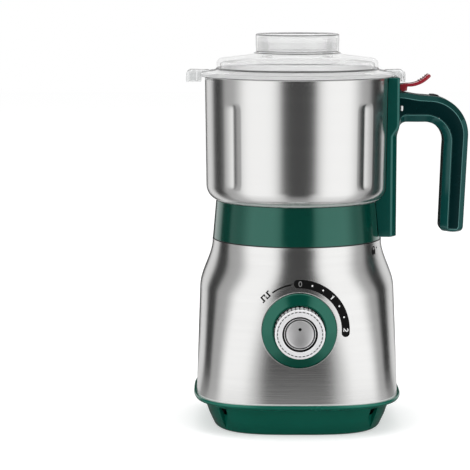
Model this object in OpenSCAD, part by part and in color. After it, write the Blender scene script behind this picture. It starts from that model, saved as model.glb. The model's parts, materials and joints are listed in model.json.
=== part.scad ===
// Electric coffee grinder: a motor base, a lift-off steel cup with its handle, a clear lid and its cap.
// The grinder's axis is Z and the table is Z = 0. The knob faces -Y and the handle points to +X.
// All sizes are in millimetres.

/* [Base] */
// Width of the steel skirt at its foot
skirt_w = 140; // [134:1:148]
// Height of the skirt's top edge above the table
skirt_top = 128.5; // [124:0.5:136]
// Steel thickness of the skirt
skirt_wall = 0.8; // [0.6:0.1:1.2]
// Diameter of the skirt's round neck
neck_d = 117.6; // [114:0.2:121]
// Height of the straight neck
neck_h = 1; // [1:0.5:6]
// Height of the shoulder under the neck
shoulder_h = 33; // [26:1:38]
// Half width lost between the foot of the skirt and the shoulder
skirt_taper = 2.4; // [1.4:0.1:3.4]
// Squareness of the foot, where 2 is round
squareness = 3.2; // [2.6:0.1:3.8]
// Height of the top edge of the green lip
lip_top = 23.2; // [21:0.2:28]
// Height of the lip
lip_h = 3.2; // [3:0.2:11]
// Thickness of the lip outside the skirt
lip_wall = 1.8; // [1.4:0.1:2.6]
// Width of the plinth where it stands
plinth_w = 113; // [110:1:120]
// Width of the plinth under the lip
plinth_top_w = 129; // [125:1:132]
// Width of the corner notches in the plinth
notch_w = 7; // [5:0.5:10]
// Diameter of the rubber feet
foot_d = 13; // [10:0.5:16]
// Bore of the cord gland
gland_bore_d = 6.6; // [6:0.1:7.4]

/* [Knob] */
// Height of the knob's axis
knob_z = 74; // [70:1:78]
// Diameter of the green bezel
bezel_d = 50.6; // [46:0.2:54]
// Rise of the bezel's cone
bezel_rise = 4.2; // [3:0.1:6]
// Diameter of the knob
knob_d = 33.6; // [30:0.2:37]
// How far the knob's face stands out from the skirt
knob_reach = 15; // [12:0.5:18]
// Diameter of the spun disc in the knob's face
insert_d = 19.5; // [17:0.5:21]
// Number of ridges round the knob
knob_ridges = 36; // [24:1:48]

/* [Cup] */
// Diameter of the cup at its rim
cup_d = 128; // [124:1:134]
// Diameter of the cup above its bottom corner
cup_foot_d = 126.2; // [122:0.2:130]
// Height of the cup
cup_h = 86; // [80:1:94]
// Steel thickness of the cup
cup_wall = 0.8; // [0.6:0.1:1.2]
// Radius of the cup's bottom corner
cup_corner = 11; // [8:0.5:13]
// Depth of the pressed flutes
flute_depth = 2.6; // [2:0.1:3.6]
// Width of the pressed flutes
flute_w = 11; // [8:0.5:14]
// Height of the green collar
collar_h = 25; // [23:0.5:30]
// Diameter of the collar at its foot
collar_d = 117.2; // [114:0.2:120]
// Diameter of the collar at its top
collar_top_d = 112.6; // [110:0.2:114]
// Wall of the collar
collar_wall = 3.4; // [2.6:0.1:4.2]

/* [Lid] */
// Diameter of the lid's flange
lid_d = 135; // [133:0.5:138]
// Diameter of the dome
dome_d = 112; // [108:0.5:116]
// Height of the dome above the flange's underside
dome_h = 15; // [12:0.5:19]
// Wall of the lid
lid_wall = 2.4; // [1.8:0.1:3]
// Outer diameter of the filler neck
filler_d = 53.8; // [48:0.2:58]
// Diameter of the cap
cap_d = 58; // [56:0.5:64]
// Height of the cap
cap_h = 12.5; // [10:0.5:18]
// Wall of the cap
cap_wall = 1.8; // [1.4:0.1:2.4]
// Width of the two ears
ear_w = 19.6; // [17:0.2:24]

/* [Handle] */
// Depth of the post outside the cup
post_depth = 4.5; // [4:0.5:9]
// Width of the post
post_w = 34; // [30:1:38]
// Width of the arm and grip
grip_w = 26; // [22:1:28]
// Thickness of the grip
grip_t = 18.1; // [16:0.1:21]
// Gap for the fingers between the post and the grip
finger_gap = 31.5; // [26:0.5:36]
// How far the foot of the grip leans in
grip_lean = 2.6; // [0:0.2:5]
// Height of the grip's foot above the foot of the collar
grip_foot = 3; // [1:0.5:12]
// Width of the latch lever
lever_w = 13; // [11:0.5:16]
// Thickness of the latch lever's blade
lever_t = 2.2; // [1.8:0.1:2.6]
// Diameter of the latch pin
latch_pin_d = 3; // [2.4:0.1:3.4]

/* [Drive] */
// Diameter of the motor shaft and of the blade shaft
shaft_d = 8; // [7:0.1:9]
// Width of the square stator
stator_w = 72; // [66:1:74]
// Height of the stator
stator_h = 38; // [32:1:42]
// Diameter of the armature
armature_d = 38.6; // [35:0.2:40]
// Span of the long blade
blade_span = 96; // [84:1:104]
// Span of the star blade
star_span = 31; // [27:0.5:38]
// Thickness of the blades
blade_t = 1.8; // [1.4:0.1:2.2]
// Bend of the long blade's arms
blade_bend = 11; // [6:1:13]
// Number of dogs on each half of the coupling
dogs = 3; // [2:1:4]
// Diameter of the coupling
coupler_d = 30; // [26:1:32]

/* [Clearances] */
// Radial clearance of a turning shaft in its bush
run_gap = 0.05; // [0.02:0.01:0.09]
// Gap between fixed pieces that sit together
seat_gap = 0.15; // [0.1:0.05:0.25]
// Gap between the lift-off parts
lift_gap = 0.3; // [0.3:0.05:0.5]
// Air gap round the armature
air_gap = 0.7; // [0.5:0.1:1]

/* [Hidden] */
$fn = 64;
sides = 64;
eps = 0.02;

skirt_r = skirt_w / 2;
neck_r = neck_d / 2;
lip_r = skirt_r + seat_gap + lip_wall;
lip_bottom = lip_top - lip_h;
skirt_foot = lip_bottom + 1.6 + seat_gap;
shoulder_z1 = skirt_top - neck_h;
shoulder_z0 = shoulder_z1 - shoulder_h;
floor_z0 = 2.2;
floor_z1 = floor_z0 + 3;
rim_w = 5;
plinth_h = lip_bottom - 2.6;
leg = [46.5, 27];
leg_r = 4;
boss_z = floor_z1 + 4;
foot_at = 36.5;
gland_z = 7.6;
gland_r = gland_bore_d / 2 + 1.3;

// Half width and squareness of the skirt at a height
function smooth(t) = let (c = min(1, max(0, t))) c * c * (3 - 2 * c);
function skirt_half(z) =
    let (low = skirt_r - skirt_taper * min(1, max(0, (z - skirt_foot) / (shoulder_z0 - skirt_foot))))
    low + (neck_r - low) * smooth((z - shoulder_z0) / shoulder_h);
function skirt_square(z) = 2 + (squareness - 2) * (1 - smooth((z - lip_top) / (shoulder_z1 - lip_top)));
function round_square(w, n, a) =
    let (c = cos(a), s = sin(a), k = w / pow(pow(abs(c), n) + pow(abs(s), n), 1 / n)) [k * c, k * s];
function ring(w, n, z) =
    [for (i = [0 : sides - 1]) let (p = round_square(w, n, 360 * i / sides)) [p[0], p[1], z]];

// Knob stack, measured outwards from the front of the skirt
front_y = skirt_half(knob_z);
bezel_r = bezel_d / 2;
knob_r = knob_d / 2;
insert_r = insert_d / 2;
well_r = knob_r + 0.6;
bezel_back = -6;
bezel_floor = bezel_back + 2;
bush_r = 5;
spindle_r = 3;
nut_t = 2;
knob_back = bezel_floor + seat_gap + nut_t + 0.6;

// Deck and jar seat
deck_top = skirt_top + 1.2;
deck_floor = skirt_top - 6;
jar_z = deck_top + lift_gap;
collar_r = collar_d / 2;
collar_top_r = collar_top_d / 2;
collar_in_r = collar_r - collar_wall - 0.4;
seat_r = collar_in_r - 0.6;
seat_z = deck_top + 9;
cup_z = jar_z + collar_h;
cup_r = cup_d / 2;
cup_foot_r = cup_foot_d / 2;
rim_z = cup_z + cup_h;
rim_band = 0.5;
rim_band_h = 3;
web_z1 = cup_z - seat_gap;
web_z0 = web_z1 - 3;
hub_r = 17.4;

function arc(cx, cz, r, a0, a1, n) =
    [for (i = [0 : n]) let (a = a0 + (a1 - a0) * i / n) [cx + r * cos(a), cz + r * sin(a)]];
// Outside of the cup from its floor to its rim, moved out by g
function cup_side(g) = concat(
    arc(cup_foot_r - cup_corner, cup_z + cup_corner, cup_corner + g, -90, 0, 9),
    [[cup_r + g, rim_z - rim_band_h], [cup_r + g + (g < 0 ? 0 : rim_band), rim_z - rim_band_h],
     [cup_r + g + (g < 0 ? 0 : rim_band), rim_z]]);
function cup_inside() = concat(
    [[cup_r - cup_wall, rim_z]],
    arc(cup_foot_r - cup_corner, cup_z + cup_corner, cup_corner - cup_wall, 0, -90, 9));
flute_r = (flute_w * flute_w / 4 + flute_depth * flute_depth) / (2 * flute_depth);
flute_z0 = cup_z + cup_corner + 5;
flute_z1 = rim_z - 22;
flute_half = (flute_z1 - flute_z0) / 2;
flute_mid = (flute_z0 + flute_z1) / 2;
flute_at = cup_foot_r + (cup_r - cup_foot_r) * 0.5 - flute_depth + flute_r;

// Lid and cap
lid_z = rim_z + lift_gap;
lid_r = lid_d / 2;
dome_r = dome_d / 2;
filler_r = filler_d / 2;
cap_r = cap_d / 2;
plug_r1 = cup_r - cup_wall - 2.8;
plug_r0 = plug_r1 - lid_wall;
plug_h = 5;
flange_t = 2.8;
cap_seat = lid_z + dome_h + 1.6;
cap_z = cap_seat + lift_gap;
filler_top = cap_z + cap_h / 2;
cap_in_r = cap_r - cap_wall;

// Handle, in the plane through the grinder's axis
post_x = cup_r + post_depth;
block_x = post_x + 1.5;
// Chamfers of the post's outer corners: outwards, and across its width
post_cut = [3.6, 5];
block_cut = [0.8, 1];
post_gap = seat_gap + 0.1;
block_z = rim_z - 33;
tongue_w = ear_w - 5.6;
tongue_top = rim_z + 0.3;
tongue_z = rim_z - 4.6;
grip_r0 = 9;
bend_r = grip_r0 + grip_t / 2;
bend_x = post_x + finger_gap - grip_r0;
bend_z = rim_z - 40;
arm_x = block_x + seat_gap;
arm_top = rim_z - 10.4;
grip_z = jar_z + grip_foot;
pin_x = block_x + 3.4;
pin_z = rim_z - 7.4;
pin_r = latch_pin_d / 2;
lug_w = 6;
lug_r = 2.6;
root_r = 2.7;
blade_c = [pin_x + 3.1, pin_z + 20.9];
blade_r = 19.3;
ear_leg = 2.4;
ear_x = block_x + 1.8 + ear_leg;
ear_out = 9.4;
ear_foot = pin_z + 4.1;
ear_top = lid_z + flange_t + 1.7;
screw_z = [arm_top - 3.8, arm_top - 11.2];

// Motor, hung under the deck
shaft_r = shaft_d / 2;
motor_top = deck_floor - 6.5;
bracket_t = 4;
bolt_at = stator_w / 2 - 8;
bolt_r = 2;
post_r = 4.8;
hang_at = 30;
bearing_r = shaft_r + 7;
bearing_h = 7;
hub_wall = 2.6;
stator_z1 = motor_top - 16;
stator_z0 = stator_z1 - stator_h;
arm_r = armature_d / 2;
bore_r = arm_r + air_gap;
coil_h = 7;
low_z = stator_z0 - 32;
comm_r = shaft_r + 7;
comm_z0 = low_z + bracket_t + 4;
comm_h = 11;
brush_z = comm_z0 + comm_h / 2;
fan_z = low_z - 16;
fan_h = 9;
fan_r = 26;

// Coupling and blade stack, measured up the axis
coupler_r = coupler_d / 2;
drive_z = deck_floor + 3.4;
hub_h = 4;
dog_z = drive_z + hub_h;
dog_h = 6;
driven_z = dog_z + dog_h + 0.6;
housing_z0 = driven_z + hub_h + 1;
flange_z = cup_z + cup_wall + seat_gap;
housing_top = flange_z + 7;
bush_out = shaft_r + 3.4;
bush_h = 6;
seal_h = 2.6;
seal_r = bush_out + 1.4;
spacer_z = housing_top + 0.8;
spacer_h = 3;
long_z = spacer_z + spacer_h;
star_z = long_z + blade_t + eps;
nut_z = star_z + blade_t + eps;
ring_z1 = web_z0 - seat_gap;
ring_h = 5;

green = [0.1, 0.42, 0.31];
steel = [0.8, 0.8, 0.8];
dark = [0.2, 0.2, 0.2];
clear = [0.85, 0.9, 0.92, 0.5];
brass = [0.75, 0.6, 0.3];
copper = [0.72, 0.4, 0.22];

// A closed body through rings of points, the last ring joined to the first
module skin_loop(rings) {
    n = len(rings[0]);
    m = len(rings);
    polyhedron(
        points = [for (r = rings) each r],
        faces = [for (j = [0 : m - 1], i = [0 : n - 1])
            let (k = (j + 1) % m, l = (i + 1) % n)
            each [[j * n + i, k * n + i, k * n + l], [j * n + i, k * n + l, j * n + l]]]);
}

// A closed body through rings of points, with a cap on the first and the last ring
module skin(rings) {
    n = len(rings[0]);
    m = len(rings);
    polyhedron(
        points = [for (r = rings) each r],
        faces = concat(
            [for (j = [0 : m - 2], i = [0 : n - 1])
                let (l = (i + 1) % n)
                each [[j * n + i, (j + 1) * n + i, (j + 1) * n + l], [j * n + i, (j + 1) * n + l, j * n + l]]],
            [for (i = [1 : n - 2]) [0, i, i + 1]],
            [for (i = [1 : n - 2]) [(m - 1) * n, (m - 1) * n + i + 1, (m - 1) * n + i]]));
}

module four_corners(x, y) {
    for (sx = [-1, 1], sy = [-1, 1])
        translate([sx * x, sy * y, 0])
            children();
}

module tube(r0, r1, h) {
    difference() {
        cylinder(r = r1, h = h);
        translate([0, 0, -1])
            cylinder(r = r0, h = h + 2);
    }
}

// Along the knob's axis, with Z pointing out of the front of the skirt
module at_knob() {
    translate([0, -front_y, knob_z])
        rotate([90, 0, 0])
            children();
}

// Along Y, with the drawing's X and Y as the part's X and Z
module across(w) {
    translate([0, w / 2, 0])
        rotate([90, 0, 0])
            linear_extrude(height = w)
                children();
}

module along_x(x0, x1, r) {
    translate([x0, 0, 0])
        rotate([0, 90, 0])
            cylinder(r = r, h = x1 - x0);
}

// Base

module base_shell() {
    levels = [skirt_foot, lip_top, lip_top + (shoulder_z0 - lip_top) * 0.35, lip_top + (shoulder_z0 - lip_top) * 0.7,
        shoulder_z0, shoulder_z0 + shoulder_h * 0.16, shoulder_z0 + shoulder_h * 0.32, shoulder_z0 + shoulder_h * 0.5,
        shoulder_z0 + shoulder_h * 0.68, shoulder_z0 + shoulder_h * 0.84, shoulder_z1, skirt_top];
    last = len(levels) - 1;
    color(steel)
        difference() {
            skin_loop(concat(
                [for (i = [last : -1 : 0]) ring(skirt_half(levels[i]), skirt_square(levels[i]), levels[i])],
                [for (z = levels) ring(skirt_half(z) - skirt_wall, skirt_square(z), z)]));
            at_knob()
                translate([0, 0, -12])
                    cylinder(r = bezel_r + 0.3, h = 24);
        }
}

module bottom_cover() {
    w0 = plinth_w / 2;
    w1 = plinth_top_w / 2;
    n = squareness;
    in = skirt_r + seat_gap;
    color(green)
        difference() {
            union() {
                skin([
                    ring(w0 - rim_w - 1, n, floor_z0), ring(w0 - rim_w, n, 0), ring(w0, n, 0),
                    ring(w0 + 1.6, n, 1.2), ring((w0 + w1) / 2 + 1, n, plinth_h * 0.5), ring(w1, n, plinth_h),
                    ring(w1 + 0.8, n, plinth_h + 1.4), ring(lip_r - 2.6, n, lip_bottom - 0.4),
                    ring(lip_r - 0.7, n, lip_bottom + 0.5), ring(lip_r, n, lip_bottom + 1.8),
                    ring(lip_r, n, lip_top - 1), ring(lip_r - 0.5, n, lip_top),
                    ring(in, n, lip_top), ring(in, n, lip_bottom + 1.6), ring(in - 2.4, n, lip_bottom + 1.6),
                    ring(w1 - 2, n, plinth_h - 0.6), ring(w0 - 0.6, n, floor_z1)]);
                four_corners(leg[0], leg[1])
                    translate([0, 0, floor_z1 - 1])
                        cylinder(r = leg_r, h = boss_z - floor_z1 + 1);
            }
            four_corners(leg[0], leg[1]) {
                translate([0, 0, -1])
                    cylinder(r = 3.4, h = boss_z - 3);
                cylinder(r = 1.8, h = boss_z + 1);
            }
            four_corners(foot_at, foot_at)
                translate([0, 0, -1])
                    cylinder(r = foot_d / 2 + seat_gap, h = 1 + floor_z0 + 1.2);
            for (i = [0 : 3])
                rotate(45 + 90 * i)
                    translate([w0 * pow(2, 0.5 - 1 / n) - 1, -notch_w / 2, 1.2])
                        cube([20, notch_w, plinth_h - 1]);
            for (i = [0 : 11])
                rotate(30 * i)
                    translate([12, -1.5, 0])
                        cube([18, 3, 10]);
            translate([0, w0 - 8, gland_z])
                rotate([-90, 0, 0])
                    cylinder(r = gland_r + seat_gap, h = 20);
        }
}

module rubber_feet() {
    color(dark)
        four_corners(foot_at, foot_at)
            cylinder(r = foot_d / 2, h = floor_z0 + 1.2 - seat_gap);
}

module cover_screws() {
    color(steel)
        four_corners(leg[0], leg[1]) {
            translate([0, 0, boss_z - 6.2])
                cylinder(r = 3, h = 2.1);
            translate([0, 0, boss_z - 4.4])
                cylinder(r = 1.6, h = 16);
        }
}

module cord_gland() {
    color(dark)
        translate([0, plinth_w / 2 - 6, gland_z])
            rotate([-90, 0, 0])
                difference() {
                    cylinder(r = gland_r, h = 16);
                    translate([0, 0, -1])
                        cylinder(r = gland_bore_d / 2, h = 18);
                }
}

module base_deck() {
    spigot = neck_r - skirt_wall - seat_gap;
    color(dark)
        difference() {
            union() {
                rotate_extrude()
                    polygon([
                        [shaft_r + 2, deck_floor], [spigot - 2.4, deck_floor], [spigot, deck_floor],
                        [spigot, skirt_top + seat_gap], [neck_r - 0.6, skirt_top + seat_gap], [neck_r - 0.6, deck_top],
                        [seat_r, deck_top], [seat_r, seat_z - 1], [seat_r - 1, seat_z],
                        [seat_r - 2.6, seat_z], [seat_r - 2.6, deck_floor + 2.6], [shaft_r + 2, deck_floor + 2.6]]);
                four_corners(leg[0], leg[1])
                    translate([0, 0, boss_z + seat_gap])
                        cylinder(r = leg_r, h = deck_floor - boss_z + 1);
                for (i = [0 : 3])
                    rotate(90 * i)
                        translate([hang_at, 0, motor_top + seat_gap])
                            cylinder(r = 4, h = deck_floor - motor_top + 1);
            }
            four_corners(leg[0], leg[1])
                translate([0, 0, boss_z - 1])
                    cylinder(r = 1.7, h = 16);
            for (i = [0 : 3])
                rotate(90 * i)
                    translate([hang_at, 0, motor_top - 1])
                        cylinder(r = 1.6, h = 7);
        }
}

module knob_bezel() {
    ledge = bezel_floor - 2 * seat_gap;
    color(green)
        at_knob()
            rotate_extrude()
                polygon(concat(
                    [[bush_r + 0.3, bezel_back], [bezel_r + 2.6, bezel_back], [bezel_r + 2.6, ledge],
                     [bezel_r, ledge], [bezel_r, 0.2]],
                    arc(bezel_r - 0.9, 0.2, 0.9, 15, 60, 3),
                    [[well_r + 1, bezel_rise], [well_r + 0.3, bezel_rise + 0.1], [well_r, bezel_rise - 0.3],
                     [well_r, bezel_floor], [bush_r + 0.3, bezel_floor]]));
}

module speed_switch() {
    top = bezel_back - seat_gap;
    color(dark)
        at_knob()
            difference() {
                union() {
                    translate([-17, -17, top - 17])
                        cube([34, 34, 17]);
                    translate([0, 0, top - 1])
                        cylinder(r = bush_r, h = knob_back - 0.4 - top + 1);
                    for (s = [-1, 0, 1])
                        translate([s * 9 - 0.4, -3, top - 24])
                            cube([0.8, 6, 8]);
                }
                translate([0, 0, top - 8])
                    cylinder(r = spindle_r + run_gap, h = 30);
            }
}

module switch_nut() {
    color(steel)
        at_knob()
            translate([0, 0, bezel_floor + seat_gap])
                difference() {
                    cylinder(r = 8, h = nut_t, $fn = 6);
                    translate([0, 0, -1])
                        cylinder(r = bush_r + seat_gap, h = nut_t + 2);
                }
}

module square_plate(z, h) {
    translate([0, 0, z])
        linear_extrude(height = h)
            intersection() {
                square([stator_w, stator_w], center = true);
                circle(r = stator_w * 0.62);
            }
}

module motor_upper_bracket() {
    boss_h = bearing_h + 0.6;
    color(steel)
        difference() {
            union() {
                square_plate(motor_top - bracket_t, bracket_t);
                translate([0, 0, motor_top - boss_h])
                    cylinder(r = bearing_r + hub_wall, h = boss_h);
                four_corners(bolt_at, bolt_at)
                    translate([0, 0, stator_z1 + seat_gap])
                        cylinder(r = post_r, h = motor_top - bracket_t - stator_z1 + 1);
            }
            translate([0, 0, motor_top - boss_h - 1])
                cylinder(r = bearing_r + seat_gap, h = boss_h + 0.6);
            translate([0, 0, motor_top - 3])
                cylinder(r = shaft_r + 3, h = 6);
            four_corners(bolt_at, bolt_at)
                translate([0, 0, stator_z1 - 1])
                    cylinder(r = bolt_r + seat_gap, h = 40);
            for (i = [0 : 3])
                rotate(90 * i)
                    translate([hang_at, 0, motor_top - 10])
                        cylinder(r = 1.8, h = 20);
        }
}

module motor_lower_bracket() {
    boss_h = bearing_h + 0.6;
    color(steel)
        difference() {
            union() {
                square_plate(low_z, bracket_t);
                translate([0, 0, low_z - boss_h + bracket_t])
                    cylinder(r = bearing_r + hub_wall, h = boss_h);
                four_corners(bolt_at, bolt_at)
                    translate([0, 0, low_z + bracket_t - 1])
                        cylinder(r = post_r, h = stator_z0 - seat_gap - low_z - bracket_t + 1);
            }
            translate([0, 0, low_z - boss_h + bracket_t + 0.6])
                cylinder(r = bearing_r + seat_gap, h = boss_h + 0.6);
            translate([0, 0, low_z - boss_h])
                cylinder(r = shaft_r + 3, h = 10);
            four_corners(bolt_at, bolt_at)
                translate([0, 0, low_z - 1])
                    cylinder(r = bolt_r + seat_gap, h = 40);
        }
}

module motor_stator() {
    color([0.5, 0.5, 0.52])
        difference() {
            square_plate(stator_z0, stator_h);
            translate([0, 0, stator_z0 - 1])
                cylinder(r = bore_r, h = stator_h + 2);
            four_corners(bolt_at, bolt_at)
                translate([0, 0, stator_z0 - 1])
                    cylinder(r = bolt_r + seat_gap, h = stator_h + 2);
        }
}

// The ends of the two field windings, which curve round the bore above and below the stator
module field_coils() {
    color(copper)
        for (z = [stator_z1 + seat_gap, stator_z0 - seat_gap - coil_h], a = [40, 220])
            translate([0, 0, z])
                rotate(a)
                    rotate_extrude(angle = 100)
                        translate([bore_r + 1.5, 0])
                            square([6.5, coil_h]);
}

module motor_bolts() {
    color(steel)
        four_corners(bolt_at, bolt_at) {
            translate([0, 0, low_z - 2.6])
                cylinder(r = 3.6, h = 2.6 - seat_gap);
            translate([0, 0, low_z - 1])
                cylinder(r = bolt_r, h = motor_top - low_z);
        }
}

module motor_screws() {
    color(steel)
        for (i = [0 : 3])
            rotate(90 * i)
                translate([hang_at, 0, 0]) {
                    translate([0, 0, motor_top - bracket_t - seat_gap - 2])
                        cylinder(r = 3, h = 2);
                    translate([0, 0, motor_top - bracket_t - seat_gap - 1])
                        cylinder(r = 1.5, h = bracket_t + 6);
                }
}

module bearing() {
    tube(shaft_r + run_gap, bearing_r, bearing_h);
}

module upper_bearing() {
    color(steel)
        translate([0, 0, motor_top - bearing_h - 0.6])
            bearing();
}

module lower_bearing() {
    color(steel)
        translate([0, 0, low_z - 3])
            bearing();
}

module brush_box(extra) {
    translate([comm_r + 1.2, -3 - extra, brush_z - 3 - extra])
        cube([16, 6 + 2 * extra, 6 + 2 * extra]);
}

module brush_holders() {
    foot = low_z + bracket_t + seat_gap;
    color(brass)
        for (a = [0, 180])
            rotate(a)
                difference() {
                    union() {
                        brush_box(1.6);
                        translate([comm_r + 4, -4.6, foot])
                            cube([10, 9.2, brush_z - foot]);
                    }
                    translate([comm_r, -3 - seat_gap, brush_z - 3 - seat_gap])
                        cube([20, 6 + 2 * seat_gap, 6 + 2 * seat_gap]);
                }
}

module carbon_brushes() {
    color([0.15, 0.15, 0.16])
        for (a = [0, 180])
            rotate(a)
                translate([comm_r + lift_gap, -3, brush_z - 3])
                    cube([14, 6, 6]);
}

// Rotor

module motor_shaft() {
    color(steel)
        translate([0, 0, fan_z - 2])
            cylinder(r = shaft_r, h = dog_z - fan_z + 2);
}

module armature() {
    color([0.5, 0.5, 0.52])
        translate([0, 0, stator_z0])
            difference() {
                cylinder(r = arm_r, h = stator_h);
                translate([0, 0, -1])
                    cylinder(r = shaft_r + eps, h = stator_h + 2);
                for (i = [0 : 11])
                    rotate(30 * i)
                        translate([arm_r - 4, -0.8, -1])
                            cube([6, 1.6, stator_h + 2]);
            }
}

module armature_windings() {
    color(copper)
        for (z = [stator_z0 - 7 - seat_gap, stator_z1 + seat_gap])
            translate([0, 0, z])
                tube(shaft_r + 1.2, arm_r - 4.4, 7);
}

module commutator() {
    color(copper)
        translate([0, 0, comm_z0])
            difference() {
                cylinder(r = comm_r, h = comm_h);
                translate([0, 0, -1])
                    cylinder(r = shaft_r + eps, h = comm_h + 2);
                for (i = [0 : 11])
                    rotate(30 * i + 15)
                        translate([comm_r - 1.4, -0.25, -1])
                            cube([3, 0.5, comm_h + 2]);
            }
}

module cooling_fan() {
    color(dark)
        translate([0, 0, fan_z])
            difference() {
                union() {
                    cylinder(r = shaft_r + 4, h = fan_h);
                    cylinder(r = fan_r, h = 1.6);
                    for (i = [0 : 7])
                        rotate(45 * i)
                            translate([shaft_r + 2, -0.8, 0])
                                cube([fan_r - shaft_r - 3, 1.6, fan_h - 1]);
                }
                translate([0, 0, -1])
                    cylinder(r = shaft_r + eps, h = fan_h + 2);
            }
}

// Half of the claw coupling, with its dogs standing up from a plain hub
module claw(hub) {
    wide = 180 / dogs - 12;
    difference() {
        union() {
            cylinder(r = coupler_r, h = hub);
            for (i = [0 : dogs - 1])
                rotate(360 * i / dogs - wide / 2)
                    translate([0, 0, hub - 1])
                        rotate_extrude(angle = wide)
                            translate([shaft_r + 3, 0])
                                square([coupler_r - 0.8 - shaft_r - 3, dog_h + 1]);
        }
        translate([0, 0, -1])
            cylinder(r = shaft_r + eps, h = hub + 2);
    }
}

module drive_coupler() {
    color(dark)
        translate([0, 0, drive_z])
            claw(hub_h);
}

// Knob

module control_knob() {
    top = knob_reach;
    side = top - 3.6;
    n = knob_ridges;
    color([0.85, 0.85, 0.87])
        at_knob()
            difference() {
                union() {
                    translate([0, 0, knob_back])
                        linear_extrude(height = side - knob_back)
                            polygon([for (i = [0 : 4 * n - 1])
                                let (a = 90 * i / n, r = knob_r - (i % 4 < 2 ? 0.2 : 0.9)) [r * cos(a), r * sin(a)]]);
                    translate([0, 0, side - 0.5])
                        rotate_extrude()
                            polygon(concat(
                                [[0, 0], [knob_r, 0], [knob_r, 0.8]],
                                arc(knob_r - 2.6, 1.5, 2.6, 0, 90, 6),
                                [[insert_r + 2, 4.1], [insert_r + 1.6, 3.4], [insert_r + 1.6, 1.2], [0, 1.2]]));
                }
                translate([0, 0, knob_back - 1])
                    cylinder(r = spindle_r + eps, h = 8);
            }
}

module knob_insert() {
    z = knob_reach - 3.6 + 0.7 + eps;
    color([0.75, 0.75, 0.75])
        at_knob()
            rotate_extrude()
                polygon([[0, z], [insert_r, z], [insert_r, z + 2.4], [insert_r - 0.6, z + 2.7], [0, z + 1.6]]);
}

module switch_spindle() {
    color(brass)
        at_knob()
            translate([0, 0, bezel_back - 7])
                cylinder(r = spindle_r, h = knob_back + 5.5 - bezel_back + 7);
}

// Jar

// A row of four capsules that press the flutes into the cup
module flutes(extra) {
    r = flute_r + extra;
    for (i = [0 : 3])
        rotate(45 + 90 * i)
            translate([flute_at, 0, 0])
                rotate_extrude()
                    polygon(concat(
                        [[0, flute_z0 - r]], arc(0, flute_z0, r, -75, 0, 5),
                        arc(0, flute_z1, r, 0, 75, 5), [[0, flute_z1 + r]]));
}

module grinding_cup() {
    hole = hub_r + seat_gap;
    color(steel)
        difference() {
            rotate_extrude()
                polygon(concat([[hole, cup_z]], cup_side(0), [[hole, rim_z]]));
            flutes(0);
            difference() {
                rotate_extrude()
                    polygon(concat([[0, rim_z + 1], [cup_r - cup_wall, rim_z + 1]], cup_inside(), [[0, cup_z + cup_wall]]));
                flutes(cup_wall);
            }
        }
}

module cup_collar() {
    lean = (collar_r - collar_top_r) / collar_h;
    cx = cup_foot_r - cup_corner;
    cz = cup_z + cup_corner;
    last = asin((collar_top_r - 0.7 - cx) / (cup_corner + seat_gap));
    color(green)
        difference() {
            rotate_extrude()
                polygon(concat(
                    [[collar_in_r, jar_z], [collar_r - 0.5, jar_z], [collar_r, jar_z + 0.6],
                     [collar_top_r, web_z1 - 0.2]],
                    arc(cx, cz, cup_corner + seat_gap, last - 90, -90, 4),
                    [[hub_r + seat_gap, web_z1], [hub_r + seat_gap, web_z0], [collar_in_r, web_z0]]));
            for (s = [-1, 1])
                translate([0, s * 9, seat_z + 5]) {
                    along_x(collar_in_r - 10, collar_in_r + 1.6, 3.2);
                    along_x(collar_in_r - 10, collar_in_r + 10, 1.7);
                }
        }
}

module bearing_hub() {
    color(steel)
        difference() {
            rotate_extrude()
                polygon([
                    [bush_out + seat_gap, housing_z0], [hub_r, housing_z0], [hub_r, flange_z], [hub_r + 6, flange_z],
                    [hub_r + 6, flange_z + 1.6], [hub_r + 5, flange_z + 2.4], [seal_r + 3.6, flange_z + 2.4],
                    [seal_r + 2, housing_top], [seal_r + seat_gap, housing_top],
                    [seal_r + seat_gap, housing_top - seal_h], [bush_out + seat_gap, housing_top - seal_h]]);
        }
}

module hub_ring() {
    color(steel)
        translate([0, 0, ring_z1 - ring_h])
            difference() {
                cylinder(r = hub_r + 4.6, h = ring_h);
                translate([0, 0, -1])
                    cylinder(r = hub_r + seat_gap, h = ring_h + 2);
                for (i = [0 : 5])
                    rotate(60 * i)
                        translate([hub_r + 2.6, -2, -1])
                            cube([6, 4, 4]);
            }
}

module shaft_bushes() {
    color(brass)
        for (z = [housing_z0 + 0.4, housing_top - seal_h - bush_h - 0.4])
            translate([0, 0, z])
                tube(shaft_r + run_gap, bush_out, bush_h);
}

module shaft_seal() {
    color(dark)
        translate([0, 0, housing_top - seal_h + seat_gap])
            tube(shaft_r + lift_gap, seal_r, seal_h - seat_gap);
}

module collar_screws() {
    color(steel)
        for (s = [-1, 1])
            translate([0, s * 9, seat_z + 5]) {
                along_x(collar_in_r - 0.2, collar_in_r + 1.4, 2.9);
                along_x(collar_in_r + 1, post_x - 4, 1.5);
            }
}

// The space of the cup and the collar, which the post is shaped to fit
module jar_space() {
    rotate_extrude()
        polygon(concat(
            [[0, jar_z - 5], [collar_r + post_gap, jar_z - 5], [collar_r + post_gap, jar_z + 0.6],
             [collar_top_r + post_gap + 0.1, cup_z]],
            [for (p = cup_side(post_gap)) if (p[0] > collar_top_r + post_gap + 0.2) p],
            [[cup_r + post_gap + rim_band, rim_z + 5], [0, rim_z + 5]]));
}

// The post from above, from inside the cup out to x, with its outer corners cut
module post_outline(x, cut) {
    w = post_w / 2;
    polygon([
        [40, -w], [x - cut[0], -w], [x, cut[1] - w], [x, w - cut[1]], [x - cut[0], w], [40, w]]);
}

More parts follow.
